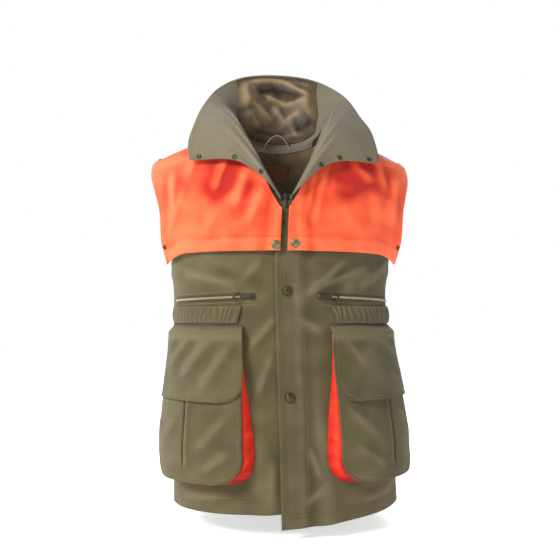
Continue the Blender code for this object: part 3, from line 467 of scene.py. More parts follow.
def high_place(piece, across, up):
    """Width, height and body length at a share across and up the part of a piece above the underarm."""
    table = TOPS[piece]
    top_x = np.interp(across, column(table, TOP_COLUMNS, "across"), column(table, TOP_COLUMNS, "x"))
    top_z = top_height(piece, across)
    back = piece == "back"
    start = table[0][1]
    low_u = start + across * (reach(np.array(UNDERARM), back) - start)
    low_x = by_length(low_u, UNDERARM, back)[..., 0]
    z = top_z - (top_z - UNDERARM) * (1 - up) ** steepness(across)
    t = (z - UNDERARM) / (top_z - UNDERARM)
    x = low_x + t * (top_x - low_x)
    edge_z = SHOULDER_TIP[1] - (SHOULDER_TIP[1] - UNDERARM) * (1 - up) ** ARMHOLE_STEEP
    edge_t = (edge_z - UNDERARM) / (SHOULDER_TIP[1] - UNDERARM)
    side_x = figure("half_width", np.array(UNDERARM))
    arm_x = through(column(ARMHOLE, ARMHOLE_COLUMNS, "height"), column(ARMHOLE, ARMHOLE_COLUMNS, "x"), edge_z)
    bow = (np.maximum(across - NECK_SHARE, 0.0) / (1 - NECK_SHARE)) ** 3
    return x + bow * (arm_x - side_x - edge_t * (SHOULDER_TIP[0] - side_x)), z, low_u


def high_point(piece, side, across, up, lift):
    """Point of the upper part of a piece, moved out by lift; side is +1 on the wearer's left, else -1."""
    across, up = np.broadcast_arrays(np.asarray(across, float), np.asarray(up, float))
    back = piece == "back"

    def place(a, b):
        """Figure point at a share a across and b up."""
        x, z, _ = high_place(piece, np.clip(a, 0.0, 1.0), np.clip(b, 0.0, 0.9999))
        return by_width(x, z, back) * np.array([side, 1, 1])

    _, z, low_u = high_place(piece, across, up)
    full = reach(np.array(UNDERARM), back)
    out = np.asarray(lift) + drape(low_u * side, z, back, full) * ease((1 - up) * 5)
    return moved_out(place, across, up, out, side * (-1 if back else 1))


def height_share(piece, across, z):
    """Share up the upper part at which a column reaches height z."""
    top_z = top_height(piece, across)
    return 1 - ((top_z - z) / (top_z - UNDERARM)) ** (1 / steepness(across))


HEM_STRAIGHT = {"front_left": 0.75, "front_right": 0.0, "back": 0.0}


def hem_height(piece, a):
    """Height of the hem at a share across: a soft S from middle to side, mixed with a straight line."""
    soft, straight = ease(a * 1.15), np.clip(a * 1.08, 0.0, 1.0)
    rise = soft + (straight - soft) * HEM_STRAIGHT[piece]
    return HEMS[piece] + (HEM_SIDE - HEMS[piece]) * rise


def panel_low(piece, side, across, rows, lift):
    """Rows of a panel from its hem to the underarm."""
    back = piece == "back"
    start = TOPS[piece][0][1]
    a, t = np.meshgrid(across, rows)
    z_hem = hem_height(piece, a)
    z = z_hem + (UNDERARM - z_hem) * t
    u = start + a * (reach(z, back) - 0.004 - start)
    return low_point(u * side, z, back, lift(u * side, z))


def panel_high(piece, side, across, rows, lift):
    """Rows of a panel from the underarm to the neck and shoulder seam."""
    a, t = np.meshgrid(across, rows)
    _, z, low_u = high_place(piece, a, t)
    return high_point(piece, side, a, t, lift(low_u * side, z))


print("middle of the left chest (cm):", high_point("front_left", 1, 0.5, 0.5, 0.0).round(2))

# %% [markdown]
# Cloth is a grid of points. Its map coordinates are the lengths along the grid in centimetres, so a weave
# keeps its real size wherever the cloth goes. Each point also stores how far it stands above its
# surroundings. The materials read that height: canvas is paler on its ridges, partly rubbed wear and partly
# a painted highlight, and darker in its hollows as painted shade.

# %% Cloth shells from grids


def blurred(grid, radius):
    """Mean of a grid over 2 radius + 1 cells both ways, its edges repeated."""
    for axis in (0, 1):
        pad = [(0, 0)] * grid.ndim
        pad[axis] = (radius + 1, radius)
        total = np.cumsum(np.pad(grid, pad, mode="edge"), axis=axis)
        span = 2 * radius + 1
        low = np.take(total, np.arange(grid.shape[axis]), axis=axis)
        high = np.take(total, np.arange(grid.shape[axis]) + span, axis=axis)
        grid = (high - low) / span
    return grid


def normals_of(grid):
    """Unit normals of a grid of points, from its differences along both ways."""
    normal = np.cross(np.gradient(grid, axis=1), np.gradient(grid, axis=0))
    return normal / np.maximum(np.linalg.norm(normal, axis=-1, keepdims=True), 1e-9)


def arc_map(grid):
    """Lengths along the rows and up the columns of a grid, measured from its middle column."""
    along = np.linalg.norm(np.diff(grid, axis=1), axis=-1)
    along = np.concatenate([np.zeros_like(along[:, :1]), np.cumsum(along, axis=1)], axis=1)
    along = along - along[:, grid.shape[1] // 2][:, None]
    up = np.linalg.norm(np.diff(grid, axis=0), axis=-1)
    up = np.concatenate([np.zeros_like(up[:1]), np.cumsum(up, axis=0)], axis=0)
    return np.stack([along, up], -1)


RIDGE_SCALE = 0.16
RIDGE_RADIUS = 5
LEAST_FILL = 0.3


def cloth(
    name, grid, thickness, made_of, flip=False, doubled=None, ease_in=1.0, tone=0.0
):
    """A cloth piece: a grid of points (cm) thickened outwards and seated on the vest.

    doubled is the share of the full thickness at each point, and ease_in how much larger the flat cut is.
    tone is added to the height that the materials read: below zero it paints shade, above zero a highlight.
    """
    grid = np.asarray(grid, float)
    tone = np.broadcast_to(tone, grid.shape[:2])
    if flip:
        grid, tone = grid[:, ::-1], tone[:, ::-1]
        doubled = None if doubled is None else doubled[:, ::-1]
    rows, columns = grid.shape[:2]
    index = np.arange(rows * columns).reshape(rows, columns)
    quads = np.stack([index[:-1, :-1], index[:-1, 1:], index[1:, 1:], index[1:, :-1]], -1)
    quads = quads.reshape(-1, 4)
    mesh = bpy.data.meshes.new(name)
    mesh.from_pydata((grid.reshape(-1, 3) * CM).tolist(), [], quads.tolist())
    mesh.shade_smooth()
    uv = mesh.uv_layers.new(name="cloth")
    lengths = arc_map(grid).reshape(-1, 2)[quads.reshape(-1)]
    uv.data.foreach_set("uv", lengths.ravel().astype(np.float32))
    # How far each point stands above its blurred surroundings, plus tone: the materials paint it as paler
    # ridges (wear and painted highlight) and painted shade in the hollows
    stand = ((grid - blurred(grid, RIDGE_RADIUS)) * normals_of(grid)).sum(-1) / RIDGE_SCALE + tone
    ridge = mesh.attributes.new("ridge", "FLOAT", "POINT")
    ridge.data.foreach_set("value", np.clip(stand, -1, 1).ravel().astype(np.float32))
    piece = bpy.data.objects.new(name, mesh)
    bpy.context.scene.collection.objects.link(piece)
    wall = piece.modifiers.new("wall", "SOLIDIFY")
    wall.thickness = thickness * CM
    wall.offset = 1.0
    if doubled is not None:
        group = piece.vertex_groups.new(name="doubled")
        levels = np.round(np.broadcast_to(doubled, (rows, columns)).ravel(), 2)
        for level in np.unique(levels):
            group.add(np.flatnonzero(levels == level).tolist(), float(level), "REPLACE")
        wall.vertex_group = "doubled"
    mesh.materials.append(made_of)
    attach(piece, VEST)
    width = float(np.linalg.norm(np.diff(grid, axis=1), axis=-1).sum(1).max()) * CM * ease_in
    length = float(np.linalg.norm(np.diff(grid, axis=0), axis=-1).sum(0).max()) * CM * ease_in
    a, b, c = grid[:-1, :-1] * CM, grid[:-1, 1:] * CM, grid[1:, :-1] * CM
    area = float(np.linalg.norm(np.cross(b - a, c - a), axis=-1).sum())
    area = min(max(area, LEAST_FILL * width * length), width * length)
    print(name, "cut", (round(width, 3), round(length, 3), round(area, 4)), "faces", len(quads))
    return piece


# %% [markdown]
# The canvas is a dry, dense plain weave. Up close it is a small chequer of threads, and from a step away it
# is uneven in colour, with slow cloudy patches from washing. It is painted paler on ridges, partly as rubbed
# wear and partly as a painted highlight, and darker in hollows as painted shade. The same recipe with other
# colours, thread sizes and sheen gives the smoother orange cloth and the soft brown lining.

# %% Cloth materials
THREAD = 0.062


def node(tree, kind, **values):
    """A new shader node with its settings and the default values of its inputs."""
    made = tree.nodes.new(kind)
    for key, value in values.items():
        if key in made.inputs:
            made.inputs[key].default_value = value
        else:
            setattr(made, key, value)
    return made


def maths(tree, operation, first, second):
    """A math node on two values or sockets; returns its result."""
    made = node(tree, "ShaderNodeMath", operation=operation)
    for socket, value in zip(made.inputs, (first, second)):
        if hasattr(value, "is_output"):
            tree.links.new(value, socket)
        else:
            socket.default_value = value
    return made.outputs[0]


def clouds(tree, scale, detail, low, high):
    """Noise on the object's own coordinates, stretched so that low and high become 0 and 1."""
    place = node(tree, "ShaderNodeTexCoord")
    noise = node(tree, "ShaderNodeTexNoise", Scale=scale, Detail=detail)
    tree.links.new(place.outputs["Object"], noise.inputs["Vector"])
    stretch = node(tree, "ShaderNodeMapRange")
    stretch.inputs["From Min"].default_value = low
    stretch.inputs["From Max"].default_value = high
    tree.links.new(noise.outputs["Fac"], stretch.inputs["Value"])
    return stretch.outputs["Result"]


def mixed(tree, share, first, second):
    """Mix of two colours or sockets by a share."""
    made = node(tree, "ShaderNodeMix", data_type="RGBA")
    tree.links.new(share, made.inputs["Factor"])
    for socket, value in ((made.inputs[6], first), (made.inputs[7], second)):
        if hasattr(value, "is_output"):
            tree.links.new(value, socket)
        else:
            socket.default_value = (*value, 1.0)
    return made.outputs[2]


def weave(tree, thread):
    """Chequer of rounded threads: the product of two sines of the cloth's own lengths."""
    place = node(tree, "ShaderNodeUVMap", uv_map="cloth")
    parts = node(tree, "ShaderNodeSeparateXYZ")
    tree.links.new(place.outputs["UV"], parts.inputs["Vector"])
    turns = math.pi / thread
    warp = maths(tree, "SINE", maths(tree, "MULTIPLY", parts.outputs["X"], turns), 0.0)
    weft = maths(tree, "SINE", maths(tree, "MULTIPLY", parts.outputs["Y"], turns), 0.0)
    return maths(tree, "MULTIPLY", warp, weft)


def between(first, second, share):
    """A colour part of the way from the first to the second."""
    return tuple((1 - share) * a + share * b for a, b in zip(first, second))


def woven(name, colour, pale, deep, thread=THREAD, roughness=0.88, sheen=0.15, bump=0.50, wear_and_painted_light=0.55):
    """Cloth material: a base colour, cloudy, with a bump of threads; paler on ridges as wear and a painted
    highlight, deeper in hollows as painted shade.
    """
    made = bpy.data.materials.new(name)
    made.use_nodes = True
    tree = made.node_tree
    shader = tree.nodes["Principled BSDF"]
    # The ridge height paints the colour: paler on ridges as wear and a painted highlight, deeper in hollows
    # as painted shade
    height = node(tree, "ShaderNodeAttribute", attribute_name="ridge")
    raised = maths(tree, "MULTIPLY", maths(tree, "MAXIMUM", height.outputs["Fac"], 0.0), wear_and_painted_light)
    below = maths(tree, "MULTIPLY", height.outputs["Fac"], -1.0)
    painted_hollow_shade = maths(tree, "MULTIPLY", maths(tree, "MAXIMUM", below, 0.0), wear_and_painted_light)
    cloudy = mixed(tree, clouds(tree, 9.0, 3.0, 0.32, 0.70), colour, between(colour, deep, 0.5))
    patches = maths(tree, "MULTIPLY", clouds(tree, 42.0, 4.0, 0.42, 0.66), 0.45)
    cloudy = mixed(tree, patches, cloudy, between(colour, deep, 0.4))
    heather = maths(tree, "MULTIPLY", clouds(tree, 900.0, 2.0, 0.35, 0.75), 0.22)
    light = mixed(tree, raised, mixed(tree, heather, cloudy, pale), pale)
    dark = mixed(tree, painted_hollow_shade, light, deep)
    chequer = weave(tree, thread)
    shade = maths(tree, "MULTIPLY_ADD", chequer, 0.06)
    shade.node.inputs[2].default_value = 0.94
    dyed = node(tree, "ShaderNodeVectorMath", operation="SCALE")
    tree.links.new(dark, dyed.inputs[0])
    tree.links.new(shade, dyed.inputs["Scale"])
    tree.links.new(dyed.outputs[0], shader.inputs["Base Color"])
    rough = node(tree, "ShaderNodeMapRange")
    rough.inputs["To Min"].default_value = roughness - 0.07
    rough.inputs["To Max"].default_value = min(roughness + 0.07, 1.0)
    tree.links.new(clouds(tree, 30.0, 2.0, 0.3, 0.7), rough.inputs["Value"])
    tree.links.new(rough.outputs["Result"], shader.inputs["Roughness"])
    shader.inputs["Sheen Weight"].default_value = sheen
    shader.inputs["Sheen Roughness"].default_value = 0.5
    shader.inputs["Specular IOR Level"].default_value = 0.25
    fuzz = maths(tree, "ADD", chequer, maths(tree, "MULTIPLY", clouds(tree, 420.0, 3.0, 0.0, 1.0), 1.2))
    relief = node(tree, "ShaderNodeBump", Strength=bump, Distance=0.0004)
    tree.links.new(fuzz, relief.inputs["Height"])
    tree.links.new(relief.outputs["Normal"], shader.inputs["Normal"])
    return made


canvas = woven(
    "olive_canvas", (0.107, 0.0875, 0.036), (0.200, 0.169, 0.088), (0.024, 0.018, 0.006),
    sheen=0.10, wear_and_painted_light=0.42,
)
facing_canvas = woven(
    "khaki_facing", (0.172, 0.146, 0.088), (0.250, 0.218, 0.142), (0.080, 0.064, 0.034), wear_and_painted_light=0.30
)
orange_cloth = woven(
    "orange_cloth", (0.90, 0.092, 0.024), (1.0, 0.165, 0.062), (0.38, 0.004, 0.0005),
    thread=0.045, roughness=0.78, sheen=0.14, bump=0.18, wear_and_painted_light=0.92,
)
# The gusset's orange cloth as a darker, redder copy: painted shade for the recess it sits in
gusset_orange_painted_shade = woven(
    "red_orange_cloth", (0.66, 0.014, 0.003), (0.95, 0.060, 0.018), (0.22, 0.003, 0.001),
    thread=0.045, roughness=0.85, sheen=0.05, bump=0.18, wear_and_painted_light=0.9,
)
lining_cloth = woven(
    "brown_lining", (0.084, 0.053, 0.023), (0.250, 0.172, 0.094), (0.007, 0.004, 0.002),
    thread=0.040, roughness=0.55, sheen=0.08, bump=0.15, wear_and_painted_light=0.95,
)
binding_tape = woven("grey_tape", (0.19, 0.17, 0.14), (0.30, 0.28, 0.24), (0.05, 0.045, 0.035), 0.080)
piping_cloth = woven("piping", (0.140, 0.122, 0.066), (0.21, 0.185, 0.11), (0.05, 0.04, 0.02), 0.060)
label_cloth = woven(
    "plain_label", (0.165, 0.062, 0.030), (0.26, 0.12, 0.06), (0.05, 0.016, 0.008), 0.030, wear_and_painted_light=0.2
)
loop_cloth = woven("loop_tape", (0.30, 0.265, 0.19), (0.42, 0.38, 0.29), (0.10, 0.085, 0.055), 0.060)
zip_tape = woven("zip_tape", (0.060, 0.048, 0.022), (0.12, 0.100, 0.055), (0.02, 0.016, 0.008), 0.075)
print("cloth materials made")

# %% [markdown]
# Fronts and back are the largest sheets. A placket stands over the zip, so the left front rises towards its
# edge. The hem, the placket edge and the armhole are turned under and sewn, so the cloth is doubled there,
# and the row of stitches pulls a shallow groove along it.

# %% Fronts and back
HEM_TURN = 2.2
PLACKET_TURN = 1.0
PLACKET_WIDE = 5.0
ARM_TURN = 1.2
DOUBLE = 0.25
SINGLE = 0.16
# Distance of an edge's stitches from that edge
EDGE_ROW = 0.7
# Rough lengths that turn a share across the upper body into a distance from the placket or from the armhole
PLACKET_REACH = 34.0
ARM_REACH = 26.0


def groove(distance, width=0.30, depth=0.05):
    """A shallow trough where a row of stitches pulls the cloth down."""
    return -depth * np.exp(-((distance / width) ** 2))


def overlap_lift(u):
    """The left front rises over the zip and the right front along the centre."""
    return OVERLAP_LIFT * (1 - ease((u - 1.6) / 2.6))


POUCH_LOW = -66.0
POUCH_Z = (-76.0, -66.0, -58.0, -50.0, -40.0, -34.0, -27.0)
POUCH_U = (21.0, 18.4, 16.2, 15.2, 15.6, 17.6, 22.5)


def pouch_line(z):
    """Distance from the middle of the back to the curved seam of the rear pouch at height z."""
    return through(np.array(POUCH_Z), np.array(POUCH_U), z)


def panel_lift(piece):
    """Lift of a panel at (u, z): the placket's rise and the grooves along its sewn edges."""
    start = TOPS[piece][0][1]

    def lift(u, z):
        """Lift at length u and height z."""
        if piece == "back":
            seam = (np.abs(u) - pouch_line(z)) + 3 * ease((z + 28.0) / 1.5)
            level = z - POUCH_LOW + 3 * ease((np.abs(u) - pouch_line(z)) / 0.4)
            pouch = groove(seam, 0.28, 0.08) + groove(level, 0.28, 0.06) - groove(seam - 0.45, 0.35, 0.06)
        else:
            pouch = 0.0
        a = (np.abs(u) if piece != "front_left" else u) - start
        share = a / (reach(np.clip(z, HEM_SIDE, UNDERARM), piece == "back") - start)
        above = z - hem_height(piece, share) - HEM_TURN
        out = groove(above)
        pucker = 0.035 * uneven(u, z, 0.9, 11) * np.exp(-((above / 1.2) ** 2))
        if piece == "front_left":
            out = out + overlap_lift(u) + groove(a - PLACKET_TURN) + groove(a - PLACKET_WIDE)
        return out + pucker + pouch

    return lift


def panel_across(start, inner, outer):
    """Shares across a panel, closer together at its sewn edge and in the narrow neck part."""
    first = np.linspace(start, NECK_SHARE, inner)
    return np.concatenate([first, np.linspace(NECK_SHARE, 1.0, outer)[1:]])


LOW_ROWS = np.linspace(0.0, 1.0, 118)
HIGH_ROWS = np.linspace(0.0, 0.9996, 84)[1:]
FRONT_ACROSS = panel_across(0.0, 40, 52)


def panel(piece, side, across):
    """All rows of a panel with the share of the full thickness at each point."""
    lift = panel_lift(piece)
    low = panel_low(piece, side, across, LOW_ROWS, lift)
    high = panel_high(piece, side, across, HIGH_ROWS, lift)
    a, t = np.meshgrid(across, np.concatenate([LOW_ROWS, 1 + HIGH_ROWS]))
    above = t * (UNDERARM - hem_height(piece, a))
    edge = ease((HEM_TURN + 0.25 - above) / 0.3)
    if piece != "back":
        edge = np.maximum(edge, ease((PLACKET_TURN + 0.3 - a * PLACKET_REACH) / 0.3))
    arm = (1 - a) * ARM_REACH
    edge = np.maximum(edge, ease((ARM_TURN + 0.2 - arm) / 0.3) * ease((t - 1.0) * 12))
    return np.concatenate([low, high]), (SINGLE + (DOUBLE - SINGLE) * edge) / DOUBLE


for side, piece in ((1, "front_left"), (-1, "front_right")):
    points, doubled = panel(piece, side, FRONT_ACROSS)
    made = cloth(piece + "_canvas", points, DOUBLE, canvas, side < 0, doubled)
    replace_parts(made, piece)

BACK_ACROSS = panel_across(0.0, 36, 48)
right_points, right_doubled = panel("back", -1, BACK_ACROSS)
left_points, left_doubled = panel("back", 1, BACK_ACROSS)
back_points = np.concatenate([right_points[:, ::-1], left_points[:, 1:]], axis=1)
back_doubled = np.concatenate([right_doubled[:, ::-1], left_doubled[:, 1:]], axis=1)
back_canvas = cloth("back_canvas", back_points, DOUBLE, canvas, True, back_doubled)
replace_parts(back_canvas, "back")

# %% [markdown]
# Front and back are joined at the sides by a flat felled seam: one edge is folded over the other and sewn
# down twice. It shows as a narrow raised strip from the underarm to the hem.

# %% Side seams
SEAM_HALF = 0.56
SEAM_WALL = 0.07


def side_point(side, v, z, off=0.0):
    """Point of the side seam's fold at distance v from the seam, on the front where v is above zero."""
    lift = SINGLE + 0.02 + 0.06 * (DOUBLE - SINGLE) / SINGLE * (1 - (v / SEAM_HALF) ** 4) + off
    front = low_point(side * (reach(z, False) - np.abs(v)), z, False, lift)
    back = low_point(side * (reach(z, True) - np.abs(v)), z, True, lift)
    return np.where((v > 0)[..., None], front, back)


for side, word in ((1, "left"), (-1, "right")):
    rows = np.linspace(HEM_SIDE + 0.1, UNDERARM - 0.1, 120)
    v, z = np.meshgrid(np.linspace(-SEAM_HALF, SEAM_HALF, 12), rows)
    points = side_point(side, v, z)
    made = cloth("side_seam_%s_fold" % word, points, SEAM_WALL, canvas, side > 0)

# %% [markdown]
# Behind each side seam the rear pouch opens with a long upright slit. Its edge is a narrow doubled welt
# that has gone wavy, so it stands off the cloth here and there and leaves a dark gap under it.

# %% Welts of the rear pouch
WELT_U = (19.9, 18.7)
WELT_Z = (-62.0, -41.0)
WELT_WALL = 0.10


def welt_point(side, share, z, off=0.0):
    """Point of a welt: sewn down at share 0, standing off in uneven waves at its free edge, share 1."""
    u = WELT_U[0] + (WELT_U[1] - WELT_U[0]) * share + 0.22 * uneven(z, 0.0, 3.1, 96) * share
    along = (z - WELT_Z[0]) / (WELT_Z[1] - WELT_Z[0])
    ends = ease(along * 7) * ease((1 - along) * 7)
    lift = SINGLE + 0.04 + (0.26 + 0.20 * uneven(z, 0.0, 2.7, 97)) * share**1.3 * ends + off
    return low_point(side * u, z, True, lift)


for side, word in ((1, "left"), (-1, "right")):
    share, z = np.meshgrid(np.linspace(0, 1, 10), np.linspace(*WELT_Z, 90))
    points = welt_point(side, share, z)
    made = cloth("pouch_welt_%s_canvas" % word, points, WELT_WALL, canvas, side < 0)

# %% [markdown]
# The yoke is three pieces of smooth orange cloth fastened over the canvas. It hangs off the shoulders,
# stands clear of the canvas at its lower edge and drops a little at its outer corners, where only a small
# snap holds it. Its creases run down from under the collar, and its hem is turned under and sewn. A painted
# shadow deepens the cloth under the collar's lobes, and a painted highlight makes the doubled hem paler.

# %% Yoke
YOKE_NECK_ACROSS = (0.35, 0.39, 0.42, 0.45)
YOKE_NECK_UP = (0.78, 0.85, 0.93, 0.9985)
YOKE_NECK_END = 0.36
YOKE_CORNER = 0.86
YOKE_FLARE = 0.30
YOKE_HEM = 2.6
# Painted shadow under the collar's lobes: its strength, the height where it starts, the run over which it
# deepens, and its most
YOKE_SHADE = -3.4
YOKE_SHADE_FROM = -16.4
YOKE_SHADE_RUN = 5.4
YOKE_SHADE_MOST = 1.3
# Middle and half width of the shaded stretch, as shares across the piece
YOKE_SHADE_AT = {"front_left": (0.55, 0.24), "front_right": (0.45, 0.22)}
# Strength of the painted highlight on the yoke's doubled hem
HEM_PALE = 0.45
# Share across its panel at which each piece begins
YOKE_STARTS = {"front_left": 0.072, "front_right": 0.022, "back_left": 0.0, "back_right": 0.0}
YOKE_CREASES = (
    (0, -6.5, -9.5, -9.5, -17.5, 1.0, 0.34),
    (0, -10.5, -8.0, -13.0, -15.0, 0.9, 0.30),
    (0, -4.0, -13.5, -7.0, -21.0, 0.9, 0.22),
    (0, -15.0, -5.5, -18.0, -12.0, 0.9, 0.26),
    (0, -20.5, -9.5, -20.0, -18.5, 0.7, 0.26),
    (0, -18.0, -13.0, -21.5, -22.5, 0.8, 0.20),
    (0, -12.0, -17.5, -16.0, -24.0, 1.1, 0.14),
    (0, 5.5, -9.5, 3.8, -19.0, 0.8, 0.30),
    (0, 8.0, -8.0, 4.5, -22.5, 0.9, 0.22),
    (0, 12.0, -8.0, 16.5, -12.5, 1.0, 0.28),
    (0, 17.0, -6.5, 19.5, -14.0, 0.9, 0.22),
    (0, 21.5, -10.0, 20.0, -20.0, 0.8, 0.22),
    (0, 10.0, -17.0, 15.0, -23.5, 1.1, 0.14),
    (1, -4.0, -4.5, -13.0, -16.0, 1.7, 0.32),
    (1, -11.0, -3.5, -19.5, -12.0, 1.5, 0.26),
    (1, 1.0, -4.5, 9.5, -17.5, 1.8, 0.34),
    (1, 7.0, -3.5, 19.0, -13.0, 1.6, 0.28),
    (1, 20.0, -9.0, 18.0, -18.0, 1.2, 0.22),
    (1, -20.5, -10.0, -18.5, -18.0, 1.2, 0.20),
    (1, -1.5, -8.0, 2.5, -17.0, 1.4, 0.22),
)


def front_yoke_edge(across):
    """Height of a front piece's lower edge, which rises at its corner."""
    return -25.4 + 0.75 * ease((across - YOKE_CORNER) / (1 - YOKE_CORNER))


def back_yoke_edge(across):
    """Height of the back piece's lower edge, which falls towards its corners."""
    return -20.6 - 1.4 * ease((across - 0.70) / 0.30)


# Side, neck clearance, hanging of the outer corner, and lower edge of each yoke piece
YOKES = {
    "front_left": (1, 1.3, 1.9, front_yoke_edge),
    "front_right": (-1, 1.3, 2.2, front_yoke_edge),
    "back_left": (1, 0.7, 1.3, back_yoke_edge),
    "back_right": (-1, 0.7, 1.3, back_yoke_edge),
}


def yoke_ends(which, across):
    """Shares up the panel at which a yoke piece has its lower edge and its top."""
    _, neck, _, lower = YOKES[which]
    piece = "back" if which.startswith("back") else which
    bottom = height_share(piece, across, lower(across))
    at_neck = height_share(piece, np.minimum(across, YOKE_NECK_END), top_height(piece, across) - neck)
    top = np.interp(across, YOKE_NECK_ACROSS, YOKE_NECK_UP)
    return bottom, np.where(across < YOKE_NECK_END, at_neck, top)


def yoke_point(which, across, t, off=0.0):
    """Point of a yoke piece at a share across its panel and a share t from its lower edge to its top."""
    side, _, hang, lower = YOKES[which]
    back = which.startswith("back")
    piece = "back" if back else which
    bottom, top = yoke_ends(which, across)
    up = bottom + (top - bottom) * t
    x, z, low_u = high_place(piece, across, up)
    flare = (YOKE_FLARE + 0.16 * ease((across - 0.75) / 0.2)) * (1 - t) ** 1.5 + 0.34 * t**3
    flare = flare + 0.16 * ease((across - YOKE_CORNER) / (1 - YOKE_CORNER)) * (1 - t) ** 0.5
    lift = WALL + YOKE_GAP + flare
    if not back:
        lift = lift + (OVERLAP_LIFT + 0.06) * (1 - ease((np.abs(low_u) - 2.3) / 2.6))
    inside = ease((1 - across) * 9) * ease((1 - t) * 7) * (0.35 + 0.65 * ease(t * 5))
    rough = 0.35 if back else 0.8
    fine = creased(YOKE_CREASES, x * side, z, back)
    fine = fine + rough * (0.07 * uneven(x * side, z, 4.2, 21) + 0.03 * uneven(x, z, 1.5, 22))
    sewn = groove(z - lower(across) - YOKE_HEM, 0.26, 0.06)
    point = high_point(piece, side, across, up, lift + fine * inside + sewn + off)
    drop = hang * ease((across - 0.64) / 0.40) * (1 - t) ** 2.2
    return point - np.stack([0 * drop, 0 * drop, drop], -1)


YOKE_T = np.concatenate([np.linspace(0.0, 0.30, 26), np.linspace(0.30, 1.0, 46)[1:]])


def yoke_across(start):
    """Shares across a yoke piece from where it begins, closer together in its inner part."""
    return np.concatenate([np.linspace(start, 0.46, 38), np.linspace(0.46, 1.0, 44)[1:]])


def hem_band(points):
    """Share of painted highlight that makes the doubled hem of a yoke piece paler, from the heights above its
    lower edge.
    """
    above = points[..., 2] - points[:1, :, 2]
    return HEM_PALE * ease((YOKE_HEM - 0.1 - above) / 0.35)


for which in ("front_left", "front_right"):
    a, t = np.meshgrid(yoke_across(YOKE_STARTS[which]), YOKE_T)
    points = yoke_point(which, a, t)
    # Painted shadow under the collar's lobes, with an uneven lower edge, plus the hem's painted highlight
    shaded = points[..., 2] - YOKE_SHADE_FROM - 1.1 * uneven(a * 22, 0.0, 3.6, 24)
    middle, reached = YOKE_SHADE_AT[which]
    beside = np.exp(-(np.abs((a - middle) / reached) ** 3))
    under = YOKE_SHADE * ease(shaded / YOKE_SHADE_RUN) * (0.85 + 0.45 * uneven(a * 22, t * 9, 3.4, 23))
    under = np.clip(under, -YOKE_SHADE_MOST, 0) * beside
    under = under + hem_band(points)
    made = cloth(
        "yoke_" + which + "_cloth", points, WALL, orange_cloth, which == "front_right",
        tone=under,
    )
    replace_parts(made, "yoke_" + which)
a, t = np.meshgrid(yoke_across(0.0), YOKE_T)
right_points, left_points = yoke_point("back_right", a, t), yoke_point("back_left", a, t)
points = np.concatenate([right_points[:, ::-1], left_points[:, 1:]], axis=1)
# The back piece carries only the hem's painted highlight
made = cloth(
    "yoke_back_cloth", points, WALL, orange_cloth, True, tone=hem_band(points)
)
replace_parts(made, "yoke_back")

# %% [markdown]
# The collar is laid open: it rolls up and out of the neck seam and its lobes fall over the yoke. Its upper
# side is khaki canvas and its underside is orange. Four curves shape it, read at each station round the
# neck: the seam, the roll, the middle and the free edge.

# %% Collar
COLLAR_COLUMNS = (
    "along", "seam_x", "seam_z", "roll", "mid_x", "mid_y", "mid_z", "edge_x", "edge_y", "edge_z",
)
COLLAR = (
    (0.00, 0.9, -16.0, 0.95, 8.2, -12.9, -9.6, 17.5, -10.7, -8.8),
    (0.13, 2.6, -12.7, 0.90, 9.2, -12.3, -6.6, 17.9, -9.2, -6.2),
    (0.26, 4.6, -8.7, 0.95, 10.0, -10.8, -3.0, 17.6, -6.6, -2.6),
    (0.40, 6.5, -4.4, 1.10, 10.7, -7.6, 0.3, 16.5, -2.9, 1.6),
    (0.52, 7.6, -1.7, 1.00, 11.2, -3.4, 3.2, 15.3, 0.4, 5.0),
    (0.62, 8.2, 0.0, 0.90, 11.0, 1.0, 5.2, 14.0, 3.6, 8.4),
    (0.74, 7.3, -0.3, 0.70, 9.4, 5.6, 6.8, 11.6, 7.6, 11.8),
    (0.86, 4.6, -0.85, 0.60, 5.8, 9.4, 7.8, 7.4, 11.2, 14.9),
    (1.00, 0.0, -1.2, 0.60, 0.0, 10.9, 8.2, 0.0, 12.9, 16.2),
)
SEAM_STATIONS = (0.0, 0.13, 0.26, 0.45, 0.62, 0.74, 0.86, 1.0)
SEAM_LIFTS = (1.06, 1.00, 0.64, 0.72, 0.86, 0.36, 0.14, 0.06)
# Shares up the collar of its seam, roll, middle and free edge, and the runs between them
ROLL_RUN, MIDDLE_RUN, EDGE_RUN = 0.10, 0.42, 0.48
COLLAR_KNOTS = np.array([0.0, ROLL_RUN, ROLL_RUN + MIDDLE_RUN, 1.0])
# Rough lengths of the collar up from its seam and round from its middle
COLLAR_TALL = 13.0
COLLAR_LONG = 30.0
COLLAR_WALL = 0.13
COLLAR_TUCK = 0.05
COLLAR_SOFTEN = 0.06
SIDE_STATION = 0.62


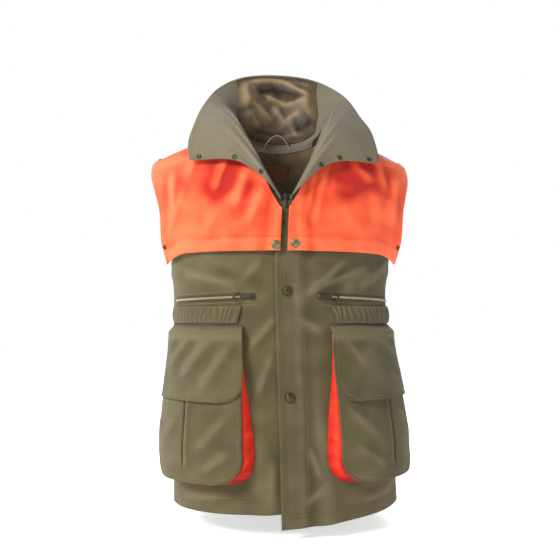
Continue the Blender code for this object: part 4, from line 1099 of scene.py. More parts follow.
def collar_base(along, up):
    """Collar point: a smooth curve up through four points read at each station round the neck."""
    station = 1.0 - np.abs(along)
    side = np.where(along < 0, -1.0, 1.0)
    at = column(COLLAR, COLLAR_COLUMNS, "along")
    mirrored = np.append(at, 2 - at[-2])

    def read(name, soften=COLLAR_SOFTEN):
        """Mean of the table's smooth curve over a short run of stations, mirrored past the middle."""
        values = column(COLLAR, COLLAR_COLUMNS, name)
        values = np.append(values, -values[-2] if name.endswith("_x") else values[-2])
        near = [np.clip(station + soften * step, 0.0, 2.0) for step in (-1.0, -0.5, 0.0, 0.5, 1.0)]
        return sum(through(mirrored, values, place) for place in near) / len(near)

    def seam_size(name):
        """Size along the neck seam: straight runs in front, and a smooth curve behind."""
        return np.where(behind, read(name, 0.0), np.interp(station, at, column(COLLAR, COLLAR_COLUMNS, name)))

    behind = station > SIDE_STATION
    seam_x, seam_z = seam_size("seam_x"), seam_size("seam_z")
    front_seam = by_width(np.minimum(seam_x, half_width(seam_z)), seam_z, False)
    back_seam = by_width(np.minimum(seam_x, half_width(seam_z)), seam_z, True)
    seam = np.where(behind[..., None], back_seam, front_seam)
    forward = np.where(behind, 0.0, seam[..., 1])
    outward = np.stack([seam[..., 0] * np.where(behind, 0.0, 0.25), forward, np.full(seam_x.shape, 3.0)], -1)
    outward /= np.linalg.norm(outward, axis=-1, keepdims=True)
    stand = np.interp(station, SEAM_STATIONS, SEAM_LIFTS)[..., None]
    low = seam + outward * stand
    tucked = outward * (stand + 0.12) * np.minimum(up, 0.0)[..., None] / COLLAR_TUCK
    up = np.maximum(up, 0.0)
    middle = np.stack([read("mid_x"), read("mid_y"), read("mid_z")], -1)
    edge = np.stack([read("edge_x"), read("edge_y"), read("edge_z")], -1)
    run = middle - low
    run /= np.linalg.norm(run, axis=-1, keepdims=True)
    roll = low + outward * read("roll")[..., None] + run * 0.8
    parts = np.stack([low, roll, middle, edge])
    first, second = (roll - low) / ROLL_RUN, (middle - roll) / MIDDLE_RUN
    slopes = np.stack([
        first,
        (first * MIDDLE_RUN + second * ROLL_RUN) / (ROLL_RUN + MIDDLE_RUN),
        (edge - roll) / (MIDDLE_RUN + EDGE_RUN),
        (edge - middle) / EDGE_RUN,
    ])
    i = np.clip(np.searchsorted(COLLAR_KNOTS, up) - 1, 0, 2)
    h = (COLLAR_KNOTS[i + 1] - COLLAR_KNOTS[i])[..., None]
    t = (up - COLLAR_KNOTS[i])[..., None] / h

    def pick(values, index):
        """The value at each point's own knot."""
        return np.take_along_axis(values, index[None, ..., None], 0)[0]

    point = (
        (2 * t**3 - 3 * t**2 + 1) * pick(parts, i)
        + (t**3 - 2 * t**2 + t) * pick(slopes, i) * h
        + (3 * t**2 - 2 * t**3) * pick(parts, i + 1)
        + (t**3 - t**2) * pick(slopes, i + 1) * h
    )
    return (point + tucked) * np.stack([side, np.ones_like(side), np.ones_like(side)], -1)


COLLAR_CREASES = (
    (0, -0.93, 0.10, -0.72, 0.62, 0.035, 0.26),
    (0, -0.80, 0.05, -0.60, 0.50, 0.040, 0.30),
    (0, -0.98, 0.30, -0.86, 0.70, 0.030, -0.12),
    (0, -0.55, 0.25, -0.45, 0.80, 0.045, -0.22),
    (0, 0.92, 0.08, 0.74, 0.55, 0.035, 0.24),
    (0, 0.78, 0.08, 0.62, 0.55, 0.040, 0.26),
    (0, 0.97, 0.35, 0.88, 0.75, 0.030, -0.10),
    (0, 0.52, 0.20, 0.44, 0.80, 0.045, -0.20),
)


def collar_point(along, up, out):
    """Collar surface moved out by its creases, the groove of its edge stitching and by out."""
    along, up = np.broadcast_arrays(np.asarray(along, float), np.asarray(up, float))
    edge = np.minimum((1 - up) * COLLAR_TALL, (1 - np.abs(along)) * COLLAR_LONG)
    lie = creased(COLLAR_CREASES, along, up) + 0.10 * uneven(along * 30, up * 12, 3.6, 31)
    wave = 0.12 * np.sin(along * 21) * ease((up - 0.6) / 0.4) * ease((np.abs(along) - 0.3) * 4)
    inwards = -1 if np.ndim(out) == 0 and out < 0 else 1
    sewn = groove(edge - EDGE_ROW, 0.22, 0.05) * inwards
    return moved_out(collar_base, along, up, lie * ease(up * 6) + wave + sewn + out, 1)


# The orange layer lies under the khaki one and is drawn in a little, most at its front ends near the seam
UNDER_LAYER = -0.16
UNDER_TALL = 0.975
UNDER_LONG, UNDER_LONG_MORE = 0.90, 0.065
COLLAR_ALONG = np.concatenate([-np.linspace(1.0, 0.0, 96)[:-1], np.linspace(0.0, 1.0, 96)])
TUCKED_ROWS = np.array([-COLLAR_TUCK, -0.5 * COLLAR_TUCK])
OPEN_ROWS = np.concatenate([np.linspace(0.0, 0.14, 12), np.linspace(0.14, 1.0, 42)[1:]])
a, t = np.meshgrid(COLLAR_ALONG, OPEN_ROWS * UNDER_TALL)
a = a * (UNDER_LONG + UNDER_LONG_MORE * ease(t * 4))
points = collar_point(a, t, UNDER_LAYER)
made = cloth("collar_outer_cloth", points, COLLAR_WALL, orange_cloth)
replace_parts(made, "collar_outer")
a, t = np.meshgrid(COLLAR_ALONG, np.concatenate([TUCKED_ROWS, OPEN_ROWS]))
points = collar_point(a, t, 0.0)
made = cloth("collar_facing_canvas", points, COLLAR_WALL, facing_canvas)
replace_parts(made, "collar_facing")

# %% [markdown]
# Inside the back of the collar lies a soft brown lining, far too big for its place, so it slumps into broad
# folds: a deep hollow under its top edge, ridges that fall to the middle from both sides, and a fold
# bridging the loop. The back below it is lined too, with a grey tape over the neck seam, a label and a
# loop.

# %% Linings, neck tape, label and hanger loop
# Half widths of the lining as shares round the collar, its ends as shares up it, and its height
LINING_WIDE, LINING_NARROW = 0.30, 0.185
LINING_LOW, LINING_HIGH = 0.05, 0.972
LINING_TALL = 17
LINING_WALL = 0.11
# Folds of the lining, in centimetres across from its middle and up from the neck seam
LINING_FOLDS = (
    (0, -8.4, 15.0, -6.0, 8.2, 2.6, 0.62),
    (0, -6.4, 15.4, 2.0, 15.6, 1.3, 0.46),
    (0, 0.5, 15.4, 8.2, 11.4, 1.1, 0.62),
    (0, -4.6, 11.8, 1.0, 13.4, 2.3, -0.62),
    (0, -0.6, 13.2, 6.6, 11.4, 2.1, -0.62),
    (0, -8.0, 11.2, -0.8, 5.4, 1.2, 0.46),
    (0, -3.4, 11.6, 3.0, 8.4, 1.5, 0.58),
    (0, 1.4, 8.6, 8.0, 10.8, 1.7, 0.58),
    (0, -1.2, 8.6, 3.2, 4.4, 1.2, 0.36),
    (0, 2.0, 5.6, 5.8, 7.8, 1.2, 0.30),
    (0, 4.0, 3.6, 8.2, 5.6, 1.9, -0.60),
    (0, -7.2, 7.8, -4.0, 3.6, 2.0, 0.36),
    (0, -5.6, 3.0, 3.8, 3.2, 1.5, -0.40),
)
a, t = np.meshgrid(np.linspace(-1, 1, 150), np.linspace(LINING_LOW, LINING_HIGH, 100))
a = a * (LINING_WIDE - (LINING_WIDE - LINING_NARROW) * ease(t * 1.05))
x, y = collar_base(a, t)[..., 0], t * LINING_TALL
rim = ease((1 - np.abs(a) / np.abs(a[:, :1])) * 3.6)
rim = rim * ease((LINING_HIGH - t) * 8) * ease((t - LINING_LOW) * 8)
slump = creased(LINING_FOLDS, x, y, power=1.35)
fine = 0.10 * uneven(x, y, 3.0, 41) + 0.04 * uneven(x, y, 1.3, 43)
crumple = 0.18 + np.maximum(0.0, 0.02 + rim * (0.62 + slump + fine))
# The folds' heights also go into the colour as tone: a painted highlight on their ridges and painted shade in
# their hollows
made = cloth(
    "collar_lining_cloth", collar_point(a, t, crumple), LINING_WALL, lining_cloth,
    ease_in=1.08, tone=1.3 * slump,
)
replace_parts(made, "collar_lining")


def inner_point(x, z, depth):
    """Point inside the back at x and z, moved in by depth."""
    outward = np.stack([x * 0.35, np.full(x.shape, 9.0), np.full(x.shape, 1.5)], -1)
    outward /= np.linalg.norm(outward, axis=-1, keepdims=True)
    return by_width(x, z, True) - outward * np.asarray(depth)[..., None]


# Each piece inside the back: half width, top, bottom, depth, thickness, material, slot, rows and columns
INNER = {
    "back_lining": (9.4, -1.0, -17.0, 0.34, 0.12, lining_cloth, "brown_lining", 60, 70),
    "label": (2.6, -4.6, -8.6, 0.50, 0.06, label_cloth, "olive_facing", 20, 26),
    "neck_binding": (7.5, -0.05, -1.10, 0.40, 0.14, binding_tape, "grey_binding", 10, 80),
}
# The back neck seam: its middle height, its rise with the square of the width, and how far out it rises
SEAM_MIDDLE, SEAM_RISE, SEAM_REACH = -1.2, 0.0168, 7.3
for name, (half, top, bottom, depth, thickness, made_of, slot_name, rows, columns) in INNER.items():
    x, z = np.meshgrid(np.linspace(-half, half, columns), np.linspace(bottom, top, rows))
    soft = 0.05 * uneven(x, z, 2.4, 51) if name == "back_lining" else 0.0 * x
    if name != "label":
        share = 1.0 if name == "neck_binding" else (z - z.min()) / np.ptp(z)
        z = z + (SEAM_MIDDLE + SEAM_RISE * np.minimum(np.abs(x), SEAM_REACH) ** 2) * share
    points = inner_point(x, z, depth - soft)
    made = cloth(name + "_cloth", points, thickness, made_of, True)
    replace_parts(made, name)

# %% [markdown]
# The cargo pockets are the vest's deepest relief. The face stands off on a bellows gusset of orange cloth,
# painted a deeper red as shade for its recess, that leans out from under it and tucks in along its middle,
# so only a bright strip shows beside the olive face. A dark pleat runs down the face. The flap covers the
# mouth, and a gathered band joins it to the slanted zip above.

# %% Cargo pockets, gussets, flaps and gathered bands
POCKET_IN = 8.2
POCKET_OUT = 25.6
POCKET_HIGH = -40.4
POCKET_LOW = -66.4
POCKET_CORNER = 4.6
OUTER_CORNER = POCKET_CORNER * 0.8
POCKET_TOP = 0.80
POCKET_DEEP = 3.0
PLEAT_AT = 18.2
GUSSET_LEAN = 1.9
GUSSET_WALL = 0.12
FLAP_OVER = 0.35
FLAP_HIGH = -38.9
FLAP_LOW = -52.2
FLAP_CORNER = 3.6
FLAP_OUT = 24.8
BAND_HIGH = -35.2
BAND_LOW = -38.4
BAND_GATHERS = 15
BAND_IN, BAND_OUT = 8.0, 24.5
BAND_WALL = 0.12


def pocket_depth(z):
    """How far the pocket's face stands off the front: shallow at its mouth, deepest low down."""
    down = np.clip((POCKET_HIGH - z) / (POCKET_HIGH - POCKET_LOW), 0, 1)
    return POCKET_TOP + (POCKET_DEEP - POCKET_TOP) * ease(down * 1.25)


def pleat(u, z):
    """The pleat: a deep narrow trough down the face, with a raised lip on its inner side."""
    fade = ease((z - POCKET_LOW - 1.0) / 4.0)
    trough = -0.50 * np.exp(-(((u - PLEAT_AT) / 0.30) ** 2))
    lip = 0.16 * np.exp(-(((u - PLEAT_AT + 0.75) / 0.40) ** 2))
    return (trough + lip) * fade


def corner_cut(z, radius):
    """How far a rounded lower corner of that radius cuts in at height z."""
    below = np.clip((POCKET_LOW + radius - z) / radius, 0, 1)
    return radius * (1 - np.sqrt(1 - below**2))


FACE_CREASES = (
    (0, 9.5, -53.0, 15.5, -59.0, 0.9, 0.22),
    (0, 10.5, -59.5, 16.5, -64.0, 0.8, 0.18),
    (0, 19.5, -53.5, 24.0, -60.0, 0.9, 0.20),
    (0, 20.0, -61.0, 24.5, -64.5, 0.8, 0.18),
    (0, -10.0, -54.0, -16.0, -61.0, 0.9, 0.18),
    (0, -10.0, -60.5, -15.0, -64.5, 0.8, 0.22),
    (0, -20.0, -55.0, -24.0, -62.0, 0.9, 0.22),
)
FACE_DOWN = 1 - (1 - np.linspace(0.0, 1.0, 74)) ** 1.25
FACE_Z = POCKET_HIGH + (POCKET_LOW - POCKET_HIGH) * FACE_DOWN
FACE_ACROSS = np.unique(np.concatenate([np.linspace(0, 1, 56), np.linspace(0.52, 0.63, 22)]))


def edge_groove(distance):
    """The narrow trough of the stitches along a pocket's or a flap's edge."""
    return groove(distance, 0.24, 0.05)


def face_point(side, u, z, off=0.0):
    """Point of the pocket's face, with its pleat, its creases and the groove of its edge stitches."""
    edge = u - POCKET_IN - corner_cut(z, POCKET_CORNER)
    sewn = edge_groove(edge - EDGE_ROW) + edge_groove(z - POCKET_LOW - EDGE_ROW)
    fine = 1.5 * creased(FACE_CREASES, u * side, z, power=1.6) + 0.10 * uneven(u * side, z, 3.4, 61)
    fine = fine * ease(edge / 1.5) * ease((POCKET_OUT - u) / 1.5) * ease((z - POCKET_LOW) / 1.5)
    return low_point(u * side, z, False, pocket_depth(z) + pleat(u, z) + sewn + fine + off)


def pocket_rim(z_rows, bottom):
    """The pocket's edge from the inner top round the bottom to the outer top: distance and height."""
    inner = POCKET_IN + corner_cut(z_rows, POCKET_CORNER)
    outer = POCKET_OUT - corner_cut(z_rows, OUTER_CORNER)
    across = np.linspace(0.0, 1.0, bottom)[1:-1]
    u = np.concatenate([inner, inner[-1] + (outer[-1] - inner[-1]) * across, outer[::-1]])
    z = np.concatenate([z_rows, np.full(len(across), POCKET_LOW), z_rows[::-1]])
    return u, z


def gusset_points(side):
    """Bellows strip: from the face's edge it leans out, tucks in along its middle and meets the front."""
    u, z = pocket_rim(FACE_Z, 40)
    middle = 0.5 * (POCKET_IN + POCKET_OUT)
    depth = ease(np.clip((POCKET_HIGH - z) / (POCKET_HIGH - POCKET_LOW), 0, 1) * 1.2)
    away_u = -np.tanh((middle - u) * 1.2) * ease((np.abs(u - middle) - 3.6) / 1.8)
    away_z = -0.5 * ease((POCKET_LOW + 3.4 - z) / 0.8)
    lean = GUSSET_LEAN * (0.04 + 0.96 * depth**1.3) * (0.45 + 0.55 * ease((middle - u) * 2))
    top = pocket_depth(z) - 0.13
    strips = []
    for share in np.linspace(1.0, 0.0, 15):
        tuck = 0.45 * math.sin(math.pi * share) ** 1.5
        ripple = 0.16 * uneven(u * side + z, z + 3 * share, 1.3, 71) * math.sin(math.pi * share)
        pu = u + away_u * lean * (1 - share) - away_u * tuck * depth
        pz = z + away_z * lean * 0.6 * (1 - share) + tuck * depth * (1 - np.abs(away_u))
        foot = WALL + 0.14
        strips.append(low_point(pu * side, pz, False, foot + (top - foot) * share + ripple * depth))
    return np.stack(strips)


# Distance of the flap's upper row of stitches from its seam
FLAP_ROW = 0.9
FLAP_CREASES = (
    (0, -9.5, -41.5, -15.5, -50.5, 0.9, 0.20),
    (0, -12.5, -40.0, -19.5, -48.5, 1.0, 0.24),
    (0, -16.5, -39.8, -22.5, -46.5, 0.9, 0.22),
    (0, 10.0, -41.0, 14.5, -47.0, 0.9, 0.14),
    (0, 16.0, -40.0, 22.0, -44.5, 0.9, 0.16),
    (0, 18.0, -47.5, 24.0, -50.5, 0.9, 0.14),
)


def flap_inner(z):
    """Inner edge of the flap at height z, with its lower corner rounded."""
    below = np.clip((FLAP_LOW + FLAP_CORNER - z) / FLAP_CORNER, 0, 1)
    return POCKET_IN - FLAP_OVER + FLAP_CORNER * (1 - np.sqrt(1 - below**2))


def flap_point(side, u, z, off=0.0):
    """Point of the flap: it springs from its seam, then lies over the pocket's mouth with a slight wave."""
    wave = 0.46 + 0.18 * np.sin(u * 0.55) * ease((FLAP_HIGH - z) / 5.0)
    lift = pocket_depth(z) + WALL + wave * (1 - 0.45 * ease((u - 21.5) / 3.0))
    edge = u - flap_inner(z)
    sewn = edge_groove(edge - EDGE_ROW) + edge_groove(z - FLAP_LOW - EDGE_ROW)
    sewn = sewn + edge_groove(FLAP_HIGH - z - FLAP_ROW)
    fine = 1.8 * creased(FLAP_CREASES, u * side, z, power=1.5) + 0.08 * uneven(u * side, z, 2.9, 81)
    lift = lift + (fine * ease((FLAP_HIGH - z) / 3.0) + sewn) * ease((FLAP_HIGH - z) / 1.0)
    root = WALL + 0.09
    lift = root + (lift - root) * ease((FLAP_HIGH - z) / 1.3)
    return low_point(u * side, z, False, lift + off)


def band_point(side, a, t, off=0.0):
    """Gathered band: short slanted puckers of uneven width and height, flat at its two sewn edges."""
    inner = BAND_IN + 0.9 * t
    u = inner + (BAND_OUT - inner) * a
    z = BAND_HIGH + (BAND_LOW - BAND_HIGH) * t - 0.1 * a
    bend = 0.50 * uneven(a * 13, t * 2.0, 1.3, 91 + side)
    bend = bend + 0.35 * (t - 0.5) * uneven(a * 13, 0.0, 3.0, 95 + side)
    strength = np.clip(0.50 + 0.60 * uneven(a * 13, t * 1.5, 1.9, 92 + side), 0.05, 1.0)
    wave = (0.5 - 0.5 * np.cos((a * BAND_GATHERS + bend) * 2 * math.pi)) ** 1.4 * strength
    puff = np.sin(np.clip(t, 0, 1) * math.pi) ** 0.7
    lift = WALL + 0.11 + 0.16 * puff + 0.26 * wave * puff
    return low_point(u * side, z, False, lift + off)


FLAP_ROWS, FLAP_COLUMNS = 46, 54
for side, word in ((1, "left"), (-1, "right")):
    front, turned = "front_%s_canvas" % word, side < 0
    z = np.broadcast_to(FACE_Z[:, None], (len(FACE_Z), len(FACE_ACROSS)))
    inner = POCKET_IN + corner_cut(z, POCKET_CORNER)
    u = inner + (POCKET_OUT - corner_cut(z, OUTER_CORNER) - inner) * FACE_ACROSS
    points = face_point(side, u, z)[::-1]
    made = cloth("pocket_%s_canvas" % word, points, WALL, canvas, turned)
    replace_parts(made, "pocket_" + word)
    points = gusset_points(side)
    made = cloth("gusset_%s_cloth" % word, points, GUSSET_WALL, gusset_orange_painted_shade, turned, ease_in=1.05)
    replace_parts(made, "gusset_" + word)
    z_rows = FLAP_HIGH + (FLAP_LOW - FLAP_HIGH) * (1 - (1 - np.linspace(0, 1, FLAP_ROWS)) ** 1.5)
    z = np.broadcast_to(z_rows[:, None], (FLAP_ROWS, FLAP_COLUMNS))
    u = flap_inner(z) + (FLAP_OUT - flap_inner(z)) * np.linspace(0, 1, FLAP_COLUMNS)
    points = flap_point(side, u, z)[::-1]
    made = cloth("flap_%s_canvas" % word, points, WALL, canvas, turned)
    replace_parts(made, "flap_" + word)
    a, t = np.meshgrid(np.linspace(0, 1, 200), np.linspace(0, 1, 18))
    points = band_point(side, a, t)[::-1]
    made = cloth(
        "waist_band_%s_canvas" % word, points, BAND_WALL, canvas, turned,
        ease_in=1.3,
    )
    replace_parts(made, "waist_band_" + word)

# %% [markdown]
# A zip is two tapes with a row of teeth between them. The pocket zips lie on the canvas, slanted a little,
# and their metal teeth show as a bright line. The main zip runs under the placket and shows only at the V
# of the neck. One tooth is a small flattened ball, placed many times along the line in one mesh.

# %% Zips
ZIP_IN, ZIP_OUT = 5.6, 22.5
ZIP_Z_IN, ZIP_Z_OUT = -33.5, -34.2
ZIP_OFF = 0.11
TAPE_HALF = 0.53
TAPE_WALL = 0.08
TOOTH_ROW = 0.09
TOOTH_PITCH = 0.19
TOOTH_SIZE = (0.07, 0.14, 0.06)
MAIN_LOW, MAIN_HIGH = -70.5, -15.0
MAIN_TAPE_HALF = 1.1
MAIN_TAPE_WALL = 0.06
MAIN_TOOTH_ROW = 0.10
MAIN_TOOTH_PITCH = 0.25
MAIN_TOOTH_SIZE = (0.08, 0.16, 0.06)


def solid_colour(name, colour, roughness, metallic, wear, scratch=0.25):
    """Metal or enamel: its own colour, with a cloudy wear colour and fine scratches in its roughness."""
    made = bpy.data.materials.new(name)
    made.use_nodes = True
    tree = made.node_tree
    shader = tree.nodes["Principled BSDF"]
    tone = mixed(tree, clouds(tree, 160.0, 4.0, 0.40, 0.72), colour, wear)
    tree.links.new(tone, shader.inputs["Base Color"])
    rough = node(tree, "ShaderNodeMapRange")
    rough.inputs["To Min"].default_value = roughness - 0.08
    rough.inputs["To Max"].default_value = roughness + scratch
    tree.links.new(clouds(tree, 500.0, 3.0, 0.35, 0.75), rough.inputs["Value"])
    tree.links.new(rough.outputs["Result"], shader.inputs["Roughness"])
    shader.inputs["Metallic"].default_value = metallic
    relief = node(tree, "ShaderNodeBump", Strength=0.15, Distance=0.0002)
    tree.links.new(clouds(tree, 700.0, 2.0, 0.3, 0.8), relief.inputs["Height"])
    tree.links.new(relief.outputs["Normal"], shader.inputs["Normal"])
    return made


dark_brass = solid_colour("dark_brass", (0.034, 0.027, 0.012), 0.42, 0.70, (0.085, 0.070, 0.036))
pale_brass = solid_colour("pale_brass", (0.150, 0.130, 0.060), 0.42, 0.75, (0.27, 0.245, 0.14))
teeth_brass = solid_colour("zip_teeth_brass", (0.36, 0.31, 0.19), 0.42, 0.55, (0.50, 0.45, 0.31))
black_enamel = solid_colour("black_enamel", (0.012, 0.012, 0.012), 0.34, 0.0, (0.035, 0.033, 0.030))


def rings_of(radius, height, around):
    """Points of rings round Z: one ring for each radius and height, a point for each angle."""
    radius, height = radius[:, None], height[:, None]
    rings = np.broadcast_arrays(radius * np.cos(around), radius * np.sin(around), height)
    return np.stack(rings, -1).reshape(-1, 3)


def ball(rings, segments):
    """Points and faces of a closed unit ball with its poles on Z."""
    height = np.linspace(math.pi / 2, -math.pi / 2, rings + 1)[1:-1]
    around = np.linspace(0, 2 * math.pi, segments, endpoint=False)
    points = np.concatenate([[(0, 0, 1.0)], rings_of(np.cos(height), np.sin(height), around), [(0, 0, -1.0)]])
    step = np.arange(segments)
    following = (step + 1) % segments
    faces = [np.stack([0 * step, 1 + step, 1 + following], -1)]
    for row in range(rings - 2):
        a, b = 1 + row * segments + step, 1 + row * segments + following
        faces.append(np.stack([a, a + segments, b + segments], -1))
        faces.append(np.stack([a, b + segments, b], -1))
    last = 1 + (rings - 2) * segments
    faces.append(np.stack([last + step, 0 * step + len(points) - 1, last + following], -1))
    return points, np.concatenate(faces)


def scattered(name, shape, places, x_axes, z_axes, size, made_of):
    """One mesh of many copies of a shape: each is scaled to size and turned to its own X and Z directions."""
    points, faces = shape
    z_axes = z_axes / np.linalg.norm(z_axes, axis=-1, keepdims=True)
    x_axes = x_axes - z_axes * (x_axes * z_axes).sum(-1, keepdims=True)
    x_axes = x_axes / np.linalg.norm(x_axes, axis=-1, keepdims=True)
    turns = np.stack([x_axes, np.cross(z_axes, x_axes), z_axes], -2)
    copies = places[:, None, :] + np.einsum("pk,nkj->npj", points * np.asarray(size), turns)
    every = (faces[None] + np.arange(len(places))[:, None, None] * len(points)).reshape(-1, 3)
    mesh = bpy.data.meshes.new(name)
    mesh.from_pydata((copies.reshape(-1, 3) * CM).tolist(), [], every.tolist())
    mesh.shade_smooth()
    mesh.materials.append(made_of)
    piece = bpy.data.objects.new(name, mesh)
    bpy.context.scene.collection.objects.link(piece)
    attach(piece, VEST)
    print(name, "copies", len(places), "triangles", len(every))
    return piece


def paced(line, pitch):
    """Places and directions at an even pitch along a line of points."""
    step = np.linalg.norm(np.diff(line, axis=0), axis=-1)
    along = np.concatenate([[0.0], np.cumsum(step)])
    at = np.arange(pitch / 2, along[-1], pitch)
    places = np.stack([np.interp(at, along, line[:, k]) for k in range(3)], -1)
    ahead = np.stack([np.interp(at + 0.05, along, line[:, k]) for k in range(3)], -1)
    behind = np.stack([np.interp(at - 0.05, along, line[:, k]) for k in range(3)], -1)
    return places, ahead - behind, at / along[-1]


def zip_height(u):
    """Height of the slanted zip line at length u."""
    return ZIP_Z_IN + (ZIP_Z_OUT - ZIP_Z_IN) * (u - ZIP_IN) / (ZIP_OUT - ZIP_IN)


def read_along(share, values):
    """Vectors at shares along a row of evenly spaced ones."""
    at = np.linspace(0, 1, len(values))
    return np.stack([np.interp(share, at, values[:, k]) for k in range(3)], -1)


TOOTH = ball(4, 8)
for side, word in ((1, "left"), (-1, "right")):
    u, v = np.meshgrid(np.linspace(ZIP_IN, ZIP_OUT, 70), np.linspace(TAPE_HALF, -TAPE_HALF, 13))
    lift = WALL + ZIP_OFF + 0.08 * np.exp(-((v / 0.22) ** 4))
    points = low_point(u * side, zip_height(u) + v, False, lift)[::-1]
    made = cloth(
        "pocket_zip_%s_tape" % word, points, TAPE_WALL, zip_tape, side < 0
    )
    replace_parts(made, "pocket_zip_" + word)
    for row, level, shift in ((1, "high", 0.0), (-1, "low", 0.5 * TOOTH_PITCH)):
        u = np.linspace(ZIP_IN + 0.2 + shift, ZIP_OUT - 0.2, 90)
        z = zip_height(u) + TOOTH_ROW * row
        line = low_point(u * side, z, False, WALL + ZIP_OFF + 0.20)
        out = low_point(u * side, z, False, WALL + ZIP_OFF + 0.60) - line
        places, along, share = paced(line, TOOTH_PITCH)
        name = "pocket_zip_%s_teeth_%s" % (word, level)
        teeth = scattered(name, TOOTH, places, along, read_along(share, out), TOOTH_SIZE, teeth_brass)

v, z = np.meshgrid(np.linspace(-MAIN_TAPE_HALF, MAIN_TAPE_HALF, 13), np.linspace(MAIN_LOW, MAIN_HIGH, 150))
lift = ZIP_LIFT + 0.04 + 0.06 * np.exp(-((v / 0.22) ** 4))
points = low_point(v, z, False, lift)
made = cloth("main_zip_tape", points, MAIN_TAPE_WALL, zip_tape)
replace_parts(made, "main_zip")
for row, word, shift in ((1, "left", 0.0), (-1, "right", 0.5)):
    z = np.linspace(MAIN_LOW + 0.5, MAIN_HIGH - 0.2 - MAIN_TOOTH_PITCH * shift, 300)
    line = low_point(MAIN_TOOTH_ROW * row, z, False, ZIP_LIFT + 0.17)
    out = low_point(MAIN_TOOTH_ROW * row, z, False, ZIP_LIFT + 0.60) - line
    places, along, share = paced(line, MAIN_TOOTH_PITCH)
    normals = read_along(share, out)
    teeth = scattered(
        "main_zip_teeth_" + word, TOOTH, places, along, normals, MAIN_TOOTH_SIZE, dark_brass
    )

# %% [markdown]
# Press snaps are stamped from sheet brass: a domed cap with a rolled rim. The cap's half outline is turned
# round its own axis and stood on the cloth along the cloth's normal, so each snap sits flat whatever the
# fold does under it.

# %% Press snaps
# Half outlines of the caps, from the top's middle to the foot's: radius and height in millimetres
SNAP_PROFILES = {
    "large": (
        (0.0, 2.5), (3.4, 2.4), (5.4, 2.0), (6.2, 1.6), (6.8, 1.75),
        (7.6, 1.9), (8.3, 1.5), (8.6, 0.7), (8.3, 0.0), (0.0, 0.0),
    ),
    "placket": (
        (0.0, 3.2), (3.0, 3.1), (5.6, 2.6), (6.6, 1.9), (7.2, 2.05),
        (8.2, 2.1), (8.9, 1.6), (9.2, 0.8), (8.9, 0.0), (0.0, 0.0),
    ),
    "small": (
        (0.0, 1.2), (1.6, 1.3), (2.4, 1.75), (3.2, 1.8), (3.9, 1.5),
        (4.5, 0.9), (4.6, 0.4), (4.4, 0.0), (0.0, 0.0),
    ),
}
SNAP_SEGMENTS = 40


def turned_shape(profile, segments):
    """A half outline (radius, height) in millimetres turned round Z, closed at both poles, in centimetres."""
    radius, height = np.array(profile[1:-1]).T / 10
    around = np.linspace(0, 2 * math.pi, segments, endpoint=False)
    top, foot = (0, 0, profile[0][1] / 10), (0, 0, profile[-1][1] / 10)
    points = np.concatenate([[top], rings_of(radius, height, around), [foot]])
    _, faces = ball(len(radius) + 1, segments)
    return points, faces


def fine_outline(profile, steps=4):
    """The outline with extra points on a smooth curve through its own."""
    profile = np.array(profile)
    at = np.arange(len(profile))
    fine = np.linspace(0, len(profile) - 1, (len(profile) - 1) * steps + 1)
    return [tuple(through(at, profile[:, k], fine)[i] for k in range(2)) for i in range(len(fine))]


def seat(surface, lift):
    """Place and normal on a surface, given as a function of the distance moved out, at that lift."""
    near = surface(0.0)
    normal = surface(1.0) - near
    return near + normal * lift, normal


def low_spot(u, z, lift):
    """A place on the lower front at length u and height z."""
    return seat(lambda off: low_point(u, z, False, off), lift)


def yoke_spot(which, across, height, lift):
    """A place on a yoke piece at a share across and a share of its height."""
    return seat(lambda off: yoke_point(which, np.array(across), np.array(height), off), lift)


def collar_spot(along, up, lift):
    """A place on the collar at a share round it and a share up it."""
    return seat(lambda off: collar_point(np.array(along), np.array(up), off), lift)


def snap(name, kind, place, made_of):
    """One snap cap standing on a place along its normal."""
    point, normal = place
    shape = turned_shape(fine_outline(SNAP_PROFILES[kind]), SNAP_SEGMENTS)
    across = np.array([[0.31, 0.17, 0.93]])
    piece = scattered(name + "_cap", shape, point[None], across, normal[None], (1.0, 1.0, 1.0), made_of)
    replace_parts(piece, name)
    return piece


ON_FRONT = WALL + OVERLAP_LIFT + 0.02
ON_YOKE = WALL + 0.02
CHEST_ACROSS, CHEST_Z = 0.045, -20.6
chest_up = height_share("front_left", np.array(CHEST_ACROSS), CHEST_Z)
chest_spot = seat(lambda off: high_point("front_left", 1, CHEST_ACROSS, chest_up, off), ON_FRONT)
# Large placket snaps: length from the centre line and height
PLACKET_SNAPS = {"high": (0.15, -32.6), "low": (0.05, -51.6)}
for word, (u, z) in PLACKET_SNAPS.items():
    place = low_spot(u, z, ON_FRONT + 0.05)
    snap("placket_snap_" + word, "placket", place, dark_brass)
snap("placket_snap_chest", "small", chest_spot, dark_brass)
# Pale snaps at the yoke's front edge: share across the piece, and the share of its height for both
YOKE_SNAPS = {"left": 0.117, "right": 0.058}
YOKE_SNAP_UP = 0.112
for word, across in YOKE_SNAPS.items():
    place = yoke_spot("front_" + word, across, YOKE_SNAP_UP, ON_YOKE)
    snap("yoke_snap_" + word, "large", place, pale_brass)
# The small snaps near the yoke's outer edge: name, piece and share of its height
CORNER_ACROSS = 0.955
CORNER_SNAPS = (
    ("yoke_corner_snap_front_", "front_", 0.07),
    ("yoke_corner_snap_back_", "back_", 0.07),
    ("shoulder_snap_", "front_", 0.90),
)
for word in ("left", "right"):
    for name, which, height in CORNER_SNAPS:
        place = yoke_spot(which + word, CORNER_ACROSS, height, WALL)
        snap(name + word, "small", place, dark_brass)

